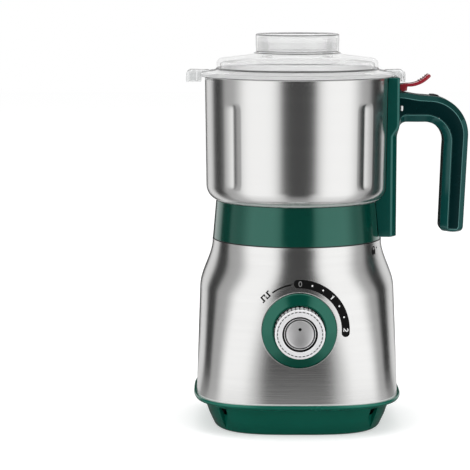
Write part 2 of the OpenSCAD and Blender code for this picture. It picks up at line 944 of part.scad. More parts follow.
module handle_post() {
    color(green)
        difference() {
            union() {
                translate([0, 0, jar_z + 0.8])
                    linear_extrude(height = block_z - jar_z + 3)
                        post_outline(post_x, post_cut);
                intersection() {
                    translate([0, 0, block_z])
                        linear_extrude(height = tongue_top - block_z)
                            post_outline(block_x, block_cut);
                    rotate([90, 0, 90])
                        linear_extrude(height = 200)
                            polygon([
                                [-post_w / 2, block_z - 1], [post_w / 2, block_z - 1], [post_w / 2, rim_z - 16],
                                [tongue_w / 2 + 2, tongue_z - 0.8], [tongue_w / 2, tongue_z],
                                [tongue_w / 2, tongue_top], [-tongue_w / 2, tongue_top], [-tongue_w / 2, tongue_z],
                                [-tongue_w / 2 - 2, tongue_z - 0.8], [-post_w / 2, rim_z - 16]]);
                }
                across(lug_w) {
                    translate([block_x - 1, pin_z - lug_r])
                        square([pin_x - block_x + 1, 2 * lug_r]);
                    translate([pin_x, pin_z])
                        circle(r = lug_r);
                }
            }
            jar_space();
            translate([pin_x, 20, pin_z])
                rotate([90, 0, 0])
                    cylinder(r = pin_r + eps, h = 40);
            for (z = screw_z)
                translate([0, 0, z]) {
                    along_x(40, cup_r + 3.4, 3.3);
                    along_x(40, block_x + 5, 1.7);
                }
            for (s = [-1, 1])
                translate([0, s * 9, seat_z + 5])
                    along_x(40, post_x - 3, 1.7);
        }
}

// Centre, half thickness and direction of the arm and grip at a step along them
arc_n = 12;
lean_a = atan(grip_lean / (bend_z - grip_z));
steps = concat(
    [[[arm_x, (arm_top + bend_z + grip_r0) / 2], (arm_top - bend_z - grip_r0) / 2, 90],
     [[bend_x - 4, bend_z + bend_r + 0.15], grip_t / 2 + 0.2, 90]],
    [for (i = [0 : arc_n]) let (a = 90 - (90 + lean_a) * i / arc_n)
        [[bend_x + bend_r * cos(a), bend_z + bend_r * sin(a)], grip_t / 2, a]],
    [for (t = [0.25, 0.5, 0.75]) [grip_point(t), grip_t / 2 - 0.3 * t, -lean_a]],
    [[grip_point(1 - 2.4 / (bend_z - grip_z)), grip_t / 2 - 0.3, -lean_a],
     [grip_point(1 - 0.7 / (bend_z - grip_z)), grip_t / 2 - 1, -lean_a],
     [grip_point(1), grip_t / 2 - 2.4, -lean_a]]);
function grip_point(t) =
    let (p = [bend_x + bend_r * cos(lean_a), bend_z - bend_r * sin(lean_a)])
    [p[0] - t * grip_lean, p[1] + t * (grip_z - p[1])];
// Bevels of the grip towards the fingers and away from them
bevel_in = 6.2;
bevel_out = 3.7;
side_in = 5;
side_out = 3.6;
// Turns an outline in thickness and width into points across one step
function section(step, outline) =
    [for (q = outline) [step[0][0] + q[0] * cos(step[2]), q[1], step[0][1] + q[0] * sin(step[2])]];
// How far a step's corners are drawn in, so that the foot of the grip is rounded
function drawn(step) = max(0, grip_t / 2 - 0.3 - step[1]);
function shell_outline(h, d) =
    let (w = grip_w / 2 - d, v = w - side_out, u = -h + bevel_in + seat_gap)
    [[u, -w], [u, w], [h - bevel_out - 0.5, w], [h - bevel_out + 0.4, w - 0.4], [h - 0.6, v + 0.6],
     [h, v - 0.5], [h, -v + 0.5], [h - 0.6, -v - 0.6], [h - bevel_out + 0.4, -w + 0.4], [h - bevel_out - 0.5, -w]];
function cover_outline(h, d) =
    let (w = grip_w / 2 - d, v = w - side_in, u = -h + bevel_in)
    [[-h, -v + 0.6], [-h, v - 0.6], [-h + 0.6, v + 0.3], [u - 0.7, w - 0.4], [u, w], [u, -w],
     [u - 0.7, -w + 0.4], [-h + 0.6, -v - 0.3]];

module handle_grip() {
    color(green)
        difference() {
            skin([for (s = steps) section(s, shell_outline(s[1], drawn(s)))]);
            for (z = screw_z)
                translate([0, 0, z])
                    along_x(arm_x - 5, arm_x + 13, 1.7);
        }
}

module handle_inner_cover() {
    color(green)
        skin([for (s = steps) section(s, cover_outline(s[1], drawn(s)))]);
}

module handle_screws() {
    color(steel)
        for (z = screw_z)
            translate([0, 0, z]) {
                along_x(cup_r + 1.3, cup_r + 3.3, 3);
                along_x(cup_r + 2.5, arm_x + 12, 1.5);
            }
}

module latch_pin() {
    color(steel)
        translate([pin_x, lever_w / 2 - 0.4, pin_z])
            rotate([90, 0, 0])
                cylinder(r = pin_r, h = lever_w - 0.8);
}

// Three turns of wire round the pin, between the lug and one cheek of the lever
module latch_spring() {
    wire = 0.35;
    coil = pin_r + wire + 0.25;
    turns = 2;
    pitch = 0.95;
    steps_per_turn = 20;
    around = 6;
    y0 = lug_w / 2 + wire + 0.15;
    color(steel)
        skin([for (i = [0 : turns * steps_per_turn])
            let (a = 360 * i / steps_per_turn, y = y0 + pitch * i / steps_per_turn)
            [for (k = [0 : around - 1])
                let (b = 360 * k / around, r = coil + wire * cos(b))
                [pin_x + r * cos(a), y + wire * sin(b), pin_z + r * sin(a)]]]);
}

module latch_stop_pad() {
    out = bend_r + grip_t / 2;
    color([0.08, 0.08, 0.08])
        translate([bend_x, 5, bend_z])
            rotate([90, 0, 0])
                linear_extrude(height = 10)
                    polygon(concat(
                        arc(0, 0, out + seat_gap, 76, 88, 6),
                        [[(out + 0.8) * cos(88), (out + 0.8) * sin(88)], [(out + 1) * cos(82), (out + 1) * sin(82)],
                         [(out + 0.8) * cos(76), (out + 0.8) * sin(76)]]));
}

// Latch

module latch_lever() {
    slot = lug_w / 2 + 2.9;
    color([0.55, 0.06, 0.12])
        difference() {
            union() {
                across(lever_w) {
                    translate([pin_x, pin_z])
                        circle(r = root_r);
                    translate([pin_x - 2.5, pin_z])
                        square([2.5, 2.2]);
                    polygon(concat(
                        [[pin_x, pin_z - 2.2], [pin_x + 2.6, pin_z - 0.6]],
                        arc(blade_c[0], blade_c[1], blade_r + lever_t / 2, -86, -43, 8),
                        arc(blade_c[0], blade_c[1], blade_r - lever_t / 2, -41.5, -90, 8),
                        [[pin_x, pin_z + 2.6]]));
                }
                for (a = [-64 : 6 : -46])
                    translate([blade_c[0] + (blade_r - lever_t / 2 + 0.1) * cos(a), lever_w / 2 - 0.6,
                        blade_c[1] + (blade_r - lever_t / 2 + 0.1) * sin(a)])
                        rotate([90, 0, 0])
                            cylinder(r = 0.55, h = lever_w - 1.2);
            }
            translate([pin_x - 5, -lug_w / 2 - 0.3, pin_z - 5])
                cube([8.4, lug_w + 0.6 + 2.4, 7.9]);
            translate([pin_x, lever_w, pin_z])
                rotate([90, 0, 0])
                    cylinder(r = pin_r + run_gap, h = 2 * lever_w);
        }
}

// Blade

module blade_shaft() {
    color(steel)
        translate([0, 0, driven_z])
            cylinder(r = shaft_r, h = nut_z + 4.5 - driven_z);
}

module blade_spacer() {
    color(steel)
        translate([0, 0, spacer_z])
            tube(shaft_r + eps, shaft_r + 3.6, spacer_h);
}

// One arm of the long blade, drawn along +X from the root, with two steps in its cutting edge
module blade_arm() {
    root = 10;
    l = blade_span / 2 - root;
    linear_extrude(height = blade_t)
        polygon([
            [-1, -7], [l * 0.3, -7.4], [l * 0.34, -6], [l * 0.62, -6.2], [l * 0.66, -4.8], [l * 0.97, -4.4],
            [l, -2], [l * 0.92, 3.2], [l * 0.4, 6.4], [-1, 7]]);
}

module long_blade() {
    color(steel)
        difference() {
            translate([0, 0, long_z])
                for (s = [0, 1])
                    rotate(180 * s + 35) {
                        translate([-1, -7, 0])
                            cube([11, 14, blade_t]);
                        translate([10, 0, 0])
                            rotate([0, s == 0 ? blade_bend : -blade_bend, 0])
                                blade_arm();
                    }
            translate([0, 0, long_z - 5])
                cylinder(r = shaft_r + eps, h = 10);
        }
}

module star_blade() {
    half = star_span / 2;
    color(steel)
        translate([0, 0, star_z])
            difference() {
                rotate(125)
                    linear_extrude(height = blade_t)
                        union() {
                            circle(r = shaft_r + 4);
                            for (s = [0, 1])
                                rotate(180 * s)
                                    polygon([[0, -shaft_r - 3], [half * 0.72, -3.4], [half, 0], [half * 0.72, 3.4],
                                        [0, shaft_r + 3]]);
                        }
                translate([0, 0, -1])
                    cylinder(r = shaft_r + eps, h = blade_t + 2);
            }
}

module blade_nut() {
    color(steel)
        translate([0, 0, nut_z])
            difference() {
                union() {
                    cylinder(r = shaft_r + 3.4, h = 5, $fn = 6);
                    rotate_extrude()
                        polygon(concat([[0, 4.5], [shaft_r + 1.8, 4.5]], arc(0, 5, shaft_r + 1.6, 0, 90, 6)));
                }
                translate([0, 0, -1])
                    cylinder(r = shaft_r + eps, h = 5.6);
            }
}

module driven_coupler() {
    color(dark)
        translate([0, 0, driven_z + hub_h])
            mirror([0, 0, 1])
                rotate(180 / dogs)
                    claw(hub_h);
}

// Lid

module ear(side) {
    x = side > 0 ? ear_x : lid_r + ear_out;
    difference() {
        translate([dome_r, -ear_w / 2, ear_foot])
            cube([x - dome_r, ear_w, ear_top - ear_foot]);
        translate([0, 0, ear_foot - 1])
            cylinder(r = cup_r + rim_band + 1.2, h = lid_z - ear_foot + 1);
        translate([dome_r - 1, -ear_w / 2 + 2.2, ear_foot - 1])
            cube([x - ear_leg - dome_r + 1, ear_w - 4.4, ear_top - 1.8 - ear_foot + 1]);
    }
}

module lid() {
    s = lid_z;
    k = 4.6;
    edge = s + flange_t + 1.8;
    side = s + dome_h * 0.56;
    top = s + dome_h * 0.8;
    color(clear)
        union() {
            rotate_extrude()
                polygon(concat(
                    [[plug_r0, s - plug_h], [plug_r1, s - plug_h], [plug_r1, s], [lid_r - 0.5, s], [lid_r, s + 0.5],
                     [lid_r, s + flange_t - 0.6], [lid_r - 0.8, s + flange_t], [dome_r + 1.2, edge], [dome_r, edge + 0.6]],
                    arc(dome_r - k, top - k, k, 0, 82, 6),
                    [[cap_r + 2, s + dome_h], [cap_r + 1, cap_seat], [filler_r, cap_seat], [filler_r, filler_top - 0.6],
                     [filler_r - 0.6, filler_top], [filler_r - lid_wall + 0.4, filler_top],
                     [filler_r - lid_wall, filler_top - 0.6], [filler_r - lid_wall, s + dome_h - lid_wall + 0.4]],
                    arc(dome_r - k - 0.4, top - k, k - lid_wall + 0.4, 82, 0, 6),
                    [[dome_r - lid_wall, edge - 1.6], [plug_r0, s + 0.6]]));
            difference() {
                ear(1);
                translate([0, 0, lid_z - 0.01])
                    cylinder(r = lid_r - 3, h = 20);
            }
            mirror([1, 0, 0])
                difference() {
                    union() {
                        ear(-1);
                        translate([lid_r + 1.6, -ear_w / 2 + 1, ear_foot])
                            cube([1.2, ear_w - 2, lid_z + flange_t - ear_foot]);
                    }
                    translate([0, 0, lid_z - 0.01])
                        cylinder(r = lid_r - 3, h = 20);
                }
        }
}

module lid_seal() {
    color([0.85, 0.85, 0.85])
        translate([0, 0, lid_z - plug_h + 0.8])
            tube(plug_r1 + seat_gap, cup_r - cup_wall - lift_gap, plug_h - 1.4);
}

module filler_cap() {
    color(clear)
        translate([0, 0, cap_z])
            rotate_extrude()
                polygon(concat(
                    [[cap_in_r, 0], [cap_r - 0.6, 0], [cap_r - 0.3, 0.5]],
                    arc(cap_r - 1.2, cap_h - 1.2, 1.2, 0, 90, 4),
                    [[0, cap_h], [0, cap_h - cap_wall - 0.4], [cap_in_r - 0.8, cap_h - cap_wall - 0.4],
                     [cap_in_r, cap_h - cap_wall - 1.2]]));
}

base_shell();
bottom_cover();
rubber_feet();
cover_screws();
cord_gland();
base_deck();
knob_bezel();
speed_switch();
switch_nut();
motor_upper_bracket();
motor_lower_bracket();
motor_stator();
field_coils();
motor_bolts();
motor_screws();
upper_bearing();
lower_bearing();
brush_holders();
carbon_brushes();
motor_shaft();
armature();
armature_windings();
commutator();
cooling_fan();
drive_coupler();
control_knob();
knob_insert();
switch_spindle();
grinding_cup();
cup_collar();
bearing_hub();
hub_ring();
shaft_bushes();
shaft_seal();
collar_screws();
handle_post();
handle_grip();
handle_inner_cover();
handle_screws();
latch_pin();
latch_spring();
latch_stop_pad();
latch_lever();
blade_shaft();
blade_spacer();
long_blade();
star_blade();
blade_nut();
driven_coupler();
lid();
lid_seal();
filler_cap();
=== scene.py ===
import json
from math import atan, atan2, cos, degrees, hypot, pi, radians, sin, sqrt, tan

import bmesh
import bpy
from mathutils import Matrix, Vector


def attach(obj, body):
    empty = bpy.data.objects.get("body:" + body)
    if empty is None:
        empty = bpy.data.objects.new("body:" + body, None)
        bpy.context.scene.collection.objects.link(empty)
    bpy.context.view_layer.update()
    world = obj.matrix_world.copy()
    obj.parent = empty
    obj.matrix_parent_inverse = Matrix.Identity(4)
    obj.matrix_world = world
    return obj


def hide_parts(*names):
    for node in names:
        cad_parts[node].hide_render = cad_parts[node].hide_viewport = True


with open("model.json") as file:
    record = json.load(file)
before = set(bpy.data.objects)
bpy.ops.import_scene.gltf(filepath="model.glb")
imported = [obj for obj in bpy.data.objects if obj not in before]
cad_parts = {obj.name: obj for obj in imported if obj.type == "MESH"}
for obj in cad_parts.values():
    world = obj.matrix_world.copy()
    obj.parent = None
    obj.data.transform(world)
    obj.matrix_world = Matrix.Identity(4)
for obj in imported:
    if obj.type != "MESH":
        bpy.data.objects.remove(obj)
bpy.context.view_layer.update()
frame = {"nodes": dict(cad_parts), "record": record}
scene = bpy.context.scene
print("frame loaded:", len(frame["nodes"]), "nodes")

mm = 0.001  # pieces are measured in millimetres, the stage and the camera in metres
creaseAngle = 32  # edges that turn by more degrees stay hard
facingShare = 0.3  # least share of a face's normal in a direction that it faces


def pick(values, names):
    return (values[name] for name in names.split())


# outlines
def smoothStep(t):
    t = min(1.0, max(0.0, t))
    return t * t * (3 - 2 * t)


def mixValue(a, b, t):
    return a + (b - a) * t


def fullTurn(columns):
    return [2 * pi * k / columns for k in range(columns)]


def arcPoints(cx, cy, r, start, end, steps):
    turn = [radians(mixValue(start, end, k / steps)) for k in range(steps + 1)]
    return [(cx + r * cos(a), cy + r * sin(a)) for a in turn]


def boxOutline(left, low, right, high):
    return [(left, low), (right, low), (right, high), (left, high)]


def softCorners(points, steps=5, closed=True):  # a third number is the corner's radius
    out = []
    for i, p in enumerate(points):
        here = Vector(p[:2])
        radius = p[2] if len(p) > 2 else 0
        if radius <= 0 or (not closed and i in (0, len(points) - 1)):
            out.append((here.x, here.y))
            continue
        back = Vector(points[i - 1][:2]) - here
        ahead = Vector(points[(i + 1) % len(points)][:2]) - here
        half = back.angle(ahead) / 2
        reach = min(radius / tan(half), back.length * 0.49, ahead.length * 0.49)
        start = here + back.normalized() * reach
        end = here + ahead.normalized() * reach
        for k in range(steps + 1):
            t = k / steps
            a, b, c = (1 - t) ** 2, 2 * t * (1 - t) * sin(half), t * t
            q = (start * a + here * b + end * c) / (a + b + c)
            out.append((q.x, q.y))
    return out


def movedTo(x, y):
    return lambda p: (p[0] + x, p[1] + y, p[2])


def turnedBy(angle):
    c, s = cos(angle), sin(angle)
    return lambda p: (p[0] * c - p[1] * s, p[0] * s + p[1] * c, p[2])


def alongY(x, z):  # lays a turned piece down along y
    return lambda p: (p[0] + x, p[2], p[1] + z)


# meshes
def addObject(name, data):
    obj = bpy.data.objects.new(name, data)
    scene.collection.objects.link(obj)
    return obj


def shadeSoft(obj, sharpAngle=creaseAngle):
    mesh = obj.data
    mesh.polygons.foreach_set("use_smooth", [True] * len(mesh.polygons))
    mesh.set_sharp_from_angle(angle=radians(sharpAngle))
    return obj


def meshPiece(name, verts, faces, sharpAngle=creaseAngle):
    mesh = bpy.data.meshes.new(name)
    mesh.from_pydata([Vector(v) * mm for v in verts], [], faces)
    bm = bmesh.new()
    bm.from_mesh(mesh)
    bmesh.ops.remove_doubles(bm, verts=bm.verts, dist=2e-6)
    bmesh.ops.recalc_face_normals(bm, faces=bm.faces)
    bm.to_mesh(mesh)
    bm.free()
    return shadeSoft(addObject(name, mesh), sharpAngle)


def ringFaces(ringCount, columns, loop=False, wrap=True):
    faces = []
    for i in range(ringCount if loop else ringCount - 1):
        j = (i + 1) % ringCount
        for k in range(columns if wrap else columns - 1):
            n = (k + 1) % columns
            faces.append((i * columns + k, i * columns + n, j * columns + n, j * columns + k))
    return faces


def gridPiece(name, rings, loop=True, wrap=True, sharpAngle=creaseAngle):
    faces = ringFaces(len(rings), len(rings[0]), loop, wrap)
    return meshPiece(name, [p for ring in rings for p in ring], faces, sharpAngle)


def skinPiece(name, rings, sharpAngle=creaseAngle):  # the first and last ring are closed
    columns, count = len(rings[0]), len(rings)
    faces = ringFaces(count, columns)
    faces.append(tuple(range(columns))[::-1])
    faces.append(tuple(range((count - 1) * columns, count * columns)))
    return meshPiece(name, [p for ring in rings for p in ring], faces, sharpAngle)


def lathePiece(name, profile, columns=160, place=None, sharpAngle=creaseAngle):
    turn = fullTurn(columns)
    rings = [[(r * cos(a), r * sin(a), z) for a in turn] for r, z in profile]
    if place:
        rings = [[place(p) for p in ring] for ring in rings]
    return gridPiece(name, rings, sharpAngle=sharpAngle)


def rodPiece(name, radius, low, high, columns, place):
    return lathePiece(name, [(0, low), (radius, low), (radius, high), (0, high)], columns, place)


def prismPiece(name, outline, low, high, bevel=0.0, place=None, sharpAngle=creaseAngle):  # runs along y
    n = len(outline)
    verts = [(x, y, z) for y in (low, high) for x, z in outline]
    faces = [tuple(range(n)), tuple(range(2 * n - 1, n - 1, -1))]
    faces += [(i, i + n, (i + 1) % n + n, (i + 1) % n) for i in range(n)]
    if place:
        verts = [place(v) for v in verts]
    obj = meshPiece(name, verts, faces, sharpAngle)
    if bevel:
        bm = bmesh.new()
        bm.from_mesh(obj.data)
        ends = set(sorted(bm.faces, key=lambda f: len(f.verts))[-2:])
        rim = [e for e in bm.edges if ends.intersection(e.link_faces)]
        bmesh.ops.bevel(bm, geom=rim, offset=bevel * mm, segments=3, profile=0.5, affect="EDGES")
        bm.to_mesh(obj.data)
        bm.free()
        shadeSoft(obj, sharpAngle)
    return obj


def shapeWith(obj, other, operation="DIFFERENCE", sharpAngle=creaseAngle):
    step = obj.modifiers.new("shape", "BOOLEAN")
    step.operation = operation
    step.solver = "EXACT"
    step.object = other
    shaped = bpy.data.meshes.new_from_object(obj.evaluated_get(bpy.context.evaluated_depsgraph_get()))
    obj.modifiers.clear()
    obj.data = shaped
    bpy.data.objects.remove(other)
    return shadeSoft(obj, sharpAngle)


def joinPieces(first, *others):
    bm = bmesh.new()
    for obj in (first,) + others:
        bm.from_mesh(obj.data)
    bm.to_mesh(first.data)
    bm.free()
    for obj in others:
        bpy.data.objects.remove(obj)
    return shadeSoft(first)


def seat(obj, body, slotName, finishName, *nodes):
    obj.data.materials.clear()
    obj.data.materials.append(finishes[finishName])
    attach(obj, body)
    if nodes:
        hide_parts(*nodes)


def secondFinish(obj, finishName, chosen):  # faces that a test picks take another finish
    obj.data.materials.append(finishes[finishName])
    for face in obj.data.polygons:
        if chosen(face):
            face.material_index = len(obj.data.materials) - 1


def inBands(face, bands):  # bands of radius and height round the grinder's axis
    r, z = hypot(face.center.x, face.center.y) / mm, face.center.z / mm
    return any(near <= r <= far and low <= z <= high for near, far, low, high in bands)


def facesAxis(face):  # turned towards the grinder's axis
    return face.normal.dot(Vector((face.center.x, face.center.y, 0)).normalized()) < -facingShare


# effects that several finishes share
def newGroup(name, inputs, outputs=("Shade", "Height")):
    group = bpy.data.node_groups.new(name, "ShaderNodeTree")
    for label, value in inputs.items():
        socket = group.interface.new_socket(label, in_out="INPUT", socket_type="NodeSocketFloat")
        socket.default_value = value
    for label in outputs:
        group.interface.new_socket(label, in_out="OUTPUT", socket_type="NodeSocketFloat")
    return group, group.nodes.new("NodeGroupInput").outputs, group.nodes.new("NodeGroupOutput").inputs


def addNode(tree, kind, inputs=(), **settings):  # an input takes a plain value or a link from an output
    node = tree.nodes.new(kind)
    for name, value in settings.items():
        setattr(node, name, value)
    for key, value in dict(inputs).items():
        if isinstance(value, bpy.types.NodeSocket):
            tree.links.new(value, node.inputs[key])
        else:
            node.inputs[key].default_value = value
    return node.outputs


def mathNode(tree, operation, a, b=0.0, clamp=False):
    return addNode(tree, "ShaderNodeMath", {0: a, 1: b}, operation=operation, use_clamp=clamp)[0]


def spreadOver(tree, value, low, high):  # turns 0 to 1 into low to high
    return addNode(tree, "ShaderNodeMapRange", {"Value": value, "To Min": low, "To Max": high})[0]


def objectCoords(tree):
    return addNode(tree, "ShaderNodeTexCoord")["Object"]


def splitCoords(tree):
    return addNode(tree, "ShaderNodeSeparateXYZ", {0: objectCoords(tree)})


def scaledCoords(tree, *factors):
    scaled = [mathNode(tree, "MULTIPLY", value, factor) for value, factor in zip(splitCoords(tree), factors)]
    return addNode(tree, "ShaderNodeCombineXYZ", enumerate(scaled))[0]


def noiseOf(tree, vector, scale, detail=2.0, rough=0.5):
    inputs = {"Vector": vector, "Scale": scale, "Detail": detail, "Roughness": rough}
    return addNode(tree, "ShaderNodeTexNoise", inputs)["Fac"]


def makeBrushedLines():  # fine lines round the grinder over slow bands, long in x and y, close in z
    group, given, out = newGroup("brushedLines", {"Along": 30.0, "Across": 3200.0})
    fine = scaledCoords(group, given["Along"], given["Along"], given["Across"])
    coarse = scaledCoords(group, 9.0, 9.0, 420.0)
    lines = noiseOf(group, fine, 1.0, 3.0, 0.6)
    both = mathNode(group, "ADD", lines, noiseOf(group, coarse, 1.0))
    group.links.new(mathNode(group, "MULTIPLY", both, 0.5), out["Shade"])
    group.links.new(lines, out["Height"])
    return group


def makeMouldedSkin():  # faint orange peel and slow colour drift of moulded plastic
    group, given, out = newGroup("mouldedSkin", {"Fine": 900.0, "Slow": 26.0})
    coords = objectCoords(group)
    group.links.new(noiseOf(group, coords, given["Slow"], 3.0), out["Shade"])
    group.links.new(noiseOf(group, coords, given["Fine"]), out["Height"])
    return group


def makeHandlingMarks():  # soft smudges, in the gloss of most finishes
    group, given, out = newGroup("handlingMarks", {"Size": 40.0}, ("Shade",))
    noise = noiseOf(group, objectCoords(group), given["Size"], 4.0, 0.6)
    curve = addNode(group, "ShaderNodeMapRange", {"Value": noise, "From Min": 0.42, "From Max": 0.72})
    group.links.new(curve[0], out["Shade"])
    return group


def makeTurnedRings():  # rings about the knob's axis
    group, given, out = newGroup("turnedRings", {"Axis Height": 0.074, "Rings": 9000.0})
    across, _, up = splitCoords(group)
    up = mathNode(group, "SUBTRACT", up, given["Axis Height"])
    squares = [mathNode(group, "MULTIPLY", value, value) for value in (across, up)]
    far = mathNode(group, "SQRT", mathNode(group, "ADD", *squares))
    wave = mathNode(group, "SINE", mathNode(group, "MULTIPLY", far, given["Rings"]))
    ring = mathNode(group, "ADD", mathNode(group, "MULTIPLY", wave, 0.5), 0.5)
    group.links.new(ring, out["Shade"])
    group.links.new(ring, out["Height"])
    return group


brushedLines = makeBrushedLines()
mouldedSkin = makeMouldedSkin()
handlingMarks = makeHandlingMarks()
turnedRings = makeTurnedRings()


# finishes, each with two tints and what else differs from its family
shaderInputs = {
    "metal": "Metallic", "level": "Specular IOR Level", "coat": "Coat Weight", "coatRough": "Coat Roughness",
    "through": "Transmission Weight", "bend": "IOR", "alpha": "Alpha",
}


def placeEffect(tree, group, v):  # an input takes the value that has its name in small letters
    node = tree.nodes.new("ShaderNodeGroup")
    node.node_tree = group
    for socket in node.inputs:
        if socket.name.lower() in v:
            socket.default_value = v[socket.name.lower()]
    return node.outputs


def makeFinish(name, v):
    material = bpy.data.materials.new(name)
    material.use_nodes = True
    tree = material.node_tree
    shader = tree.nodes["Principled BSDF"].inputs
    for key, label in shaderInputs.items():
        if key in v:
            shader[label].default_value = v[key]
    pattern = placeEffect(tree, v["pattern"], v)
    gloss = placeEffect(tree, v["gloss"], v) if "gloss" in v else pattern
    first, second = ((*tint, 1) for tint in v["tints"])
    mix = addNode(tree, "ShaderNodeMix", {0: pattern["Shade"], 6: first, 7: second}, data_type="RGBA")
    tree.links.new(mix[2], shader["Base Color"])
    tree.links.new(spreadOver(tree, gloss["Shade"], *v["rough"]), shader["Roughness"])
    if "Height" in pattern:
        inputs = {"Height": pattern["Height"], "Strength": v["bump"], "Distance": v["bumpDepth"]}
        tree.links.new(addNode(tree, "ShaderNodeBump", inputs)[0], shader["Normal"])
    return material


def grey(level):
    return (level, level, level)


steelCommon = {
    "pattern": brushedLines, "along": 14, "across": 3000, "bump": 0.02, "bumpDepth": 0.0004, "metal": 1.0,
}
steelValues = {
    "brushedSteel": {
        "tints": ((0.72, 0.717, 0.71), (0.81, 0.808, 0.8)), "rough": (0.16, 0.22), "bump": 0.12,
        "along": 16, "across": 2400,
    },
    "cupSteel": {"tints": ((0.75, 0.747, 0.74), (0.79, 0.788, 0.78)), "rough": (0.19, 0.24)},
    "cupInsidePaintedLight": {"tints": ((0.8, 0.797, 0.79), (0.86, 0.858, 0.85)), "rough": (0.3, 0.38), "metal": 0.5},
    "cupFootPaintedLight": {"tints": ((0.78, 0.777, 0.77), (0.84, 0.838, 0.83)), "rough": (0.25, 0.32), "metal": 0.4},
    "steelRimHighlight": {"tints": ((0.9, 0.898, 0.89), (0.95, 0.948, 0.94)), "rough": (0.2, 0.3), "metal": 0.3},
    "plainSteel": {
        "tints": ((0.5, 0.5, 0.5), (0.62, 0.62, 0.615)), "rough": (0.25, 0.42), "bump": 0.05, "along": 300,
        "across": 900,
    },
    "bladeSteel": {
        "tints": ((0.6, 0.6, 0.6), (0.74, 0.74, 0.73)), "rough": (0.14, 0.3), "bump": 0.08, "along": 900,
        "across": 900,
    },
}
plasticCommon = {
    "pattern": mouldedSkin, "gloss": handlingMarks, "rough": (0.2, 0.28), "bump": 0.01, "bumpDepth": 0.0005,
    "level": 0.3, "coat": 0.0, "coatRough": 0.12, "metal": 0.0,
}
plasticValues = {
    "greenGloss": {
        "tints": ((0.0, 0.088, 0.06), (0.0, 0.104, 0.072)), "rough": (0.17, 0.24), "coat": 0.55,
        "metal": 0.55,
    },
    "plinthGreenPaintedLight": {"tints": ((0.003, 0.134, 0.09), (0.004, 0.153, 0.105)), "coat": 0.4, "metal": 0.35},
    "collarGreen": {
        "tints": ((0.0, 0.088, 0.06), (0.0, 0.104, 0.072)), "rough": (0.14, 0.2), "level": 0.45,
        "coat": 0.75, "metal": 0.6,
    },
    "bezelGreen": {
        "tints": ((0.0, 0.1, 0.064), (0.0, 0.116, 0.076)), "rough": (0.13, 0.18), "coat": 0.55,
        "metal": 0.55,
    },
    "postGreen": {
        "tints": ((0.0, 0.058, 0.047), (0.0, 0.068, 0.055)), "level": 0.25, "coat": 0.1, "metal": 0.2,
    },
    "postEdgeHighlight": {"tints": ((0.012, 0.105, 0.09), (0.016, 0.12, 0.105)), "coat": 0.2, "metal": 0.2},
    "gripGreen": {
        "tints": ((0.0, 0.04, 0.036), (0.0, 0.05, 0.044)), "level": 0.15, "coat": 0.16, "metal": 0.55,
    },
    "gripPanelShade": {
        "tints": ((0.0, 0.015, 0.016), (0.0, 0.02, 0.021)), "rough": (0.26, 0.34), "level": 0.08,
        "coat": 0.06, "metal": 0.4,
    },
    "gripFacetPaintedLight": {
        "tints": ((0.004, 0.074, 0.07), (0.006, 0.088, 0.082)), "rough": (0.16, 0.22), "coat": 0.35,
        "metal": 0.35,
    },
    "gripEdgeHighlight": {
        "tints": ((0.05, 0.17, 0.16), (0.06, 0.19, 0.18)), "rough": (0.14, 0.2), "level": 0.4, "coat": 0.4,
        "metal": 0.2,
    },
    "blackPlastic": {"tints": (grey(0.012), grey(0.02)), "rough": (0.38, 0.5), "bump": 0.06, "level": 0.5},
    "blackRubber": {"tints": (grey(0.012), grey(0.022)), "rough": (0.6, 0.75), "bump": 0.08, "level": 0.4},
    "redGloss": {
        "tints": ((0.25, 0.007, 0.016), (0.31, 0.011, 0.024)), "rough": (0.16, 0.24), "bump": 0.015,
        "level": 0.6, "coat": 0.3,
    },
    "carbonBlock": {
        "tints": ((0.01, 0.01, 0.011), (0.03, 0.03, 0.032)), "rough": (0.5, 0.65), "bump": 0.1,
        "level": 0.4,
    },
    "sealSilicone": {
        "tints": ((0.66, 0.67, 0.66), (0.74, 0.75, 0.74)), "rough": (0.35, 0.5), "bump": 0.02, "level": 0.5,
    },
    "printAndShadeBlack": {"tints": (grey(0.004), grey(0.008)), "rough": (0.4, 0.5), "level": 0.05},
    "printGrey": {"tints": (grey(0.2), grey(0.25)), "rough": (0.4, 0.5)},
    "printWhite": {"tints": (grey(0.78), grey(0.86)), "rough": (0.4, 0.5), "level": 0.4},
}
wireCommon = {
    "pattern": brushedLines, "gloss": handlingMarks, "size": 90.0, "bump": 0.25, "bumpDepth": 0.0006,
    "metal": 1.0,
}
wireValues = {
    "copperWire": {
        "tints": ((0.42, 0.15, 0.06), (0.66, 0.3, 0.14)), "rough": (0.25, 0.4), "along": 260,
        "across": 2400,
    },
    "brassPart": {
        "tints": ((0.55, 0.38, 0.14), (0.66, 0.48, 0.2)), "rough": (0.22, 0.36), "along": 300,
        "across": 700,
    },
    "coreSheets": {
        "tints": ((0.12, 0.12, 0.13), (0.3, 0.3, 0.31)), "rough": (0.4, 0.55), "along": 4, "across": 2000,
    },
}
clearCommon = {
    "pattern": mouldedSkin, "gloss": handlingMarks, "fine": 300.0, "bump": 0.006, "bumpDepth": 0.0005,
    "bend": 1.4,
}
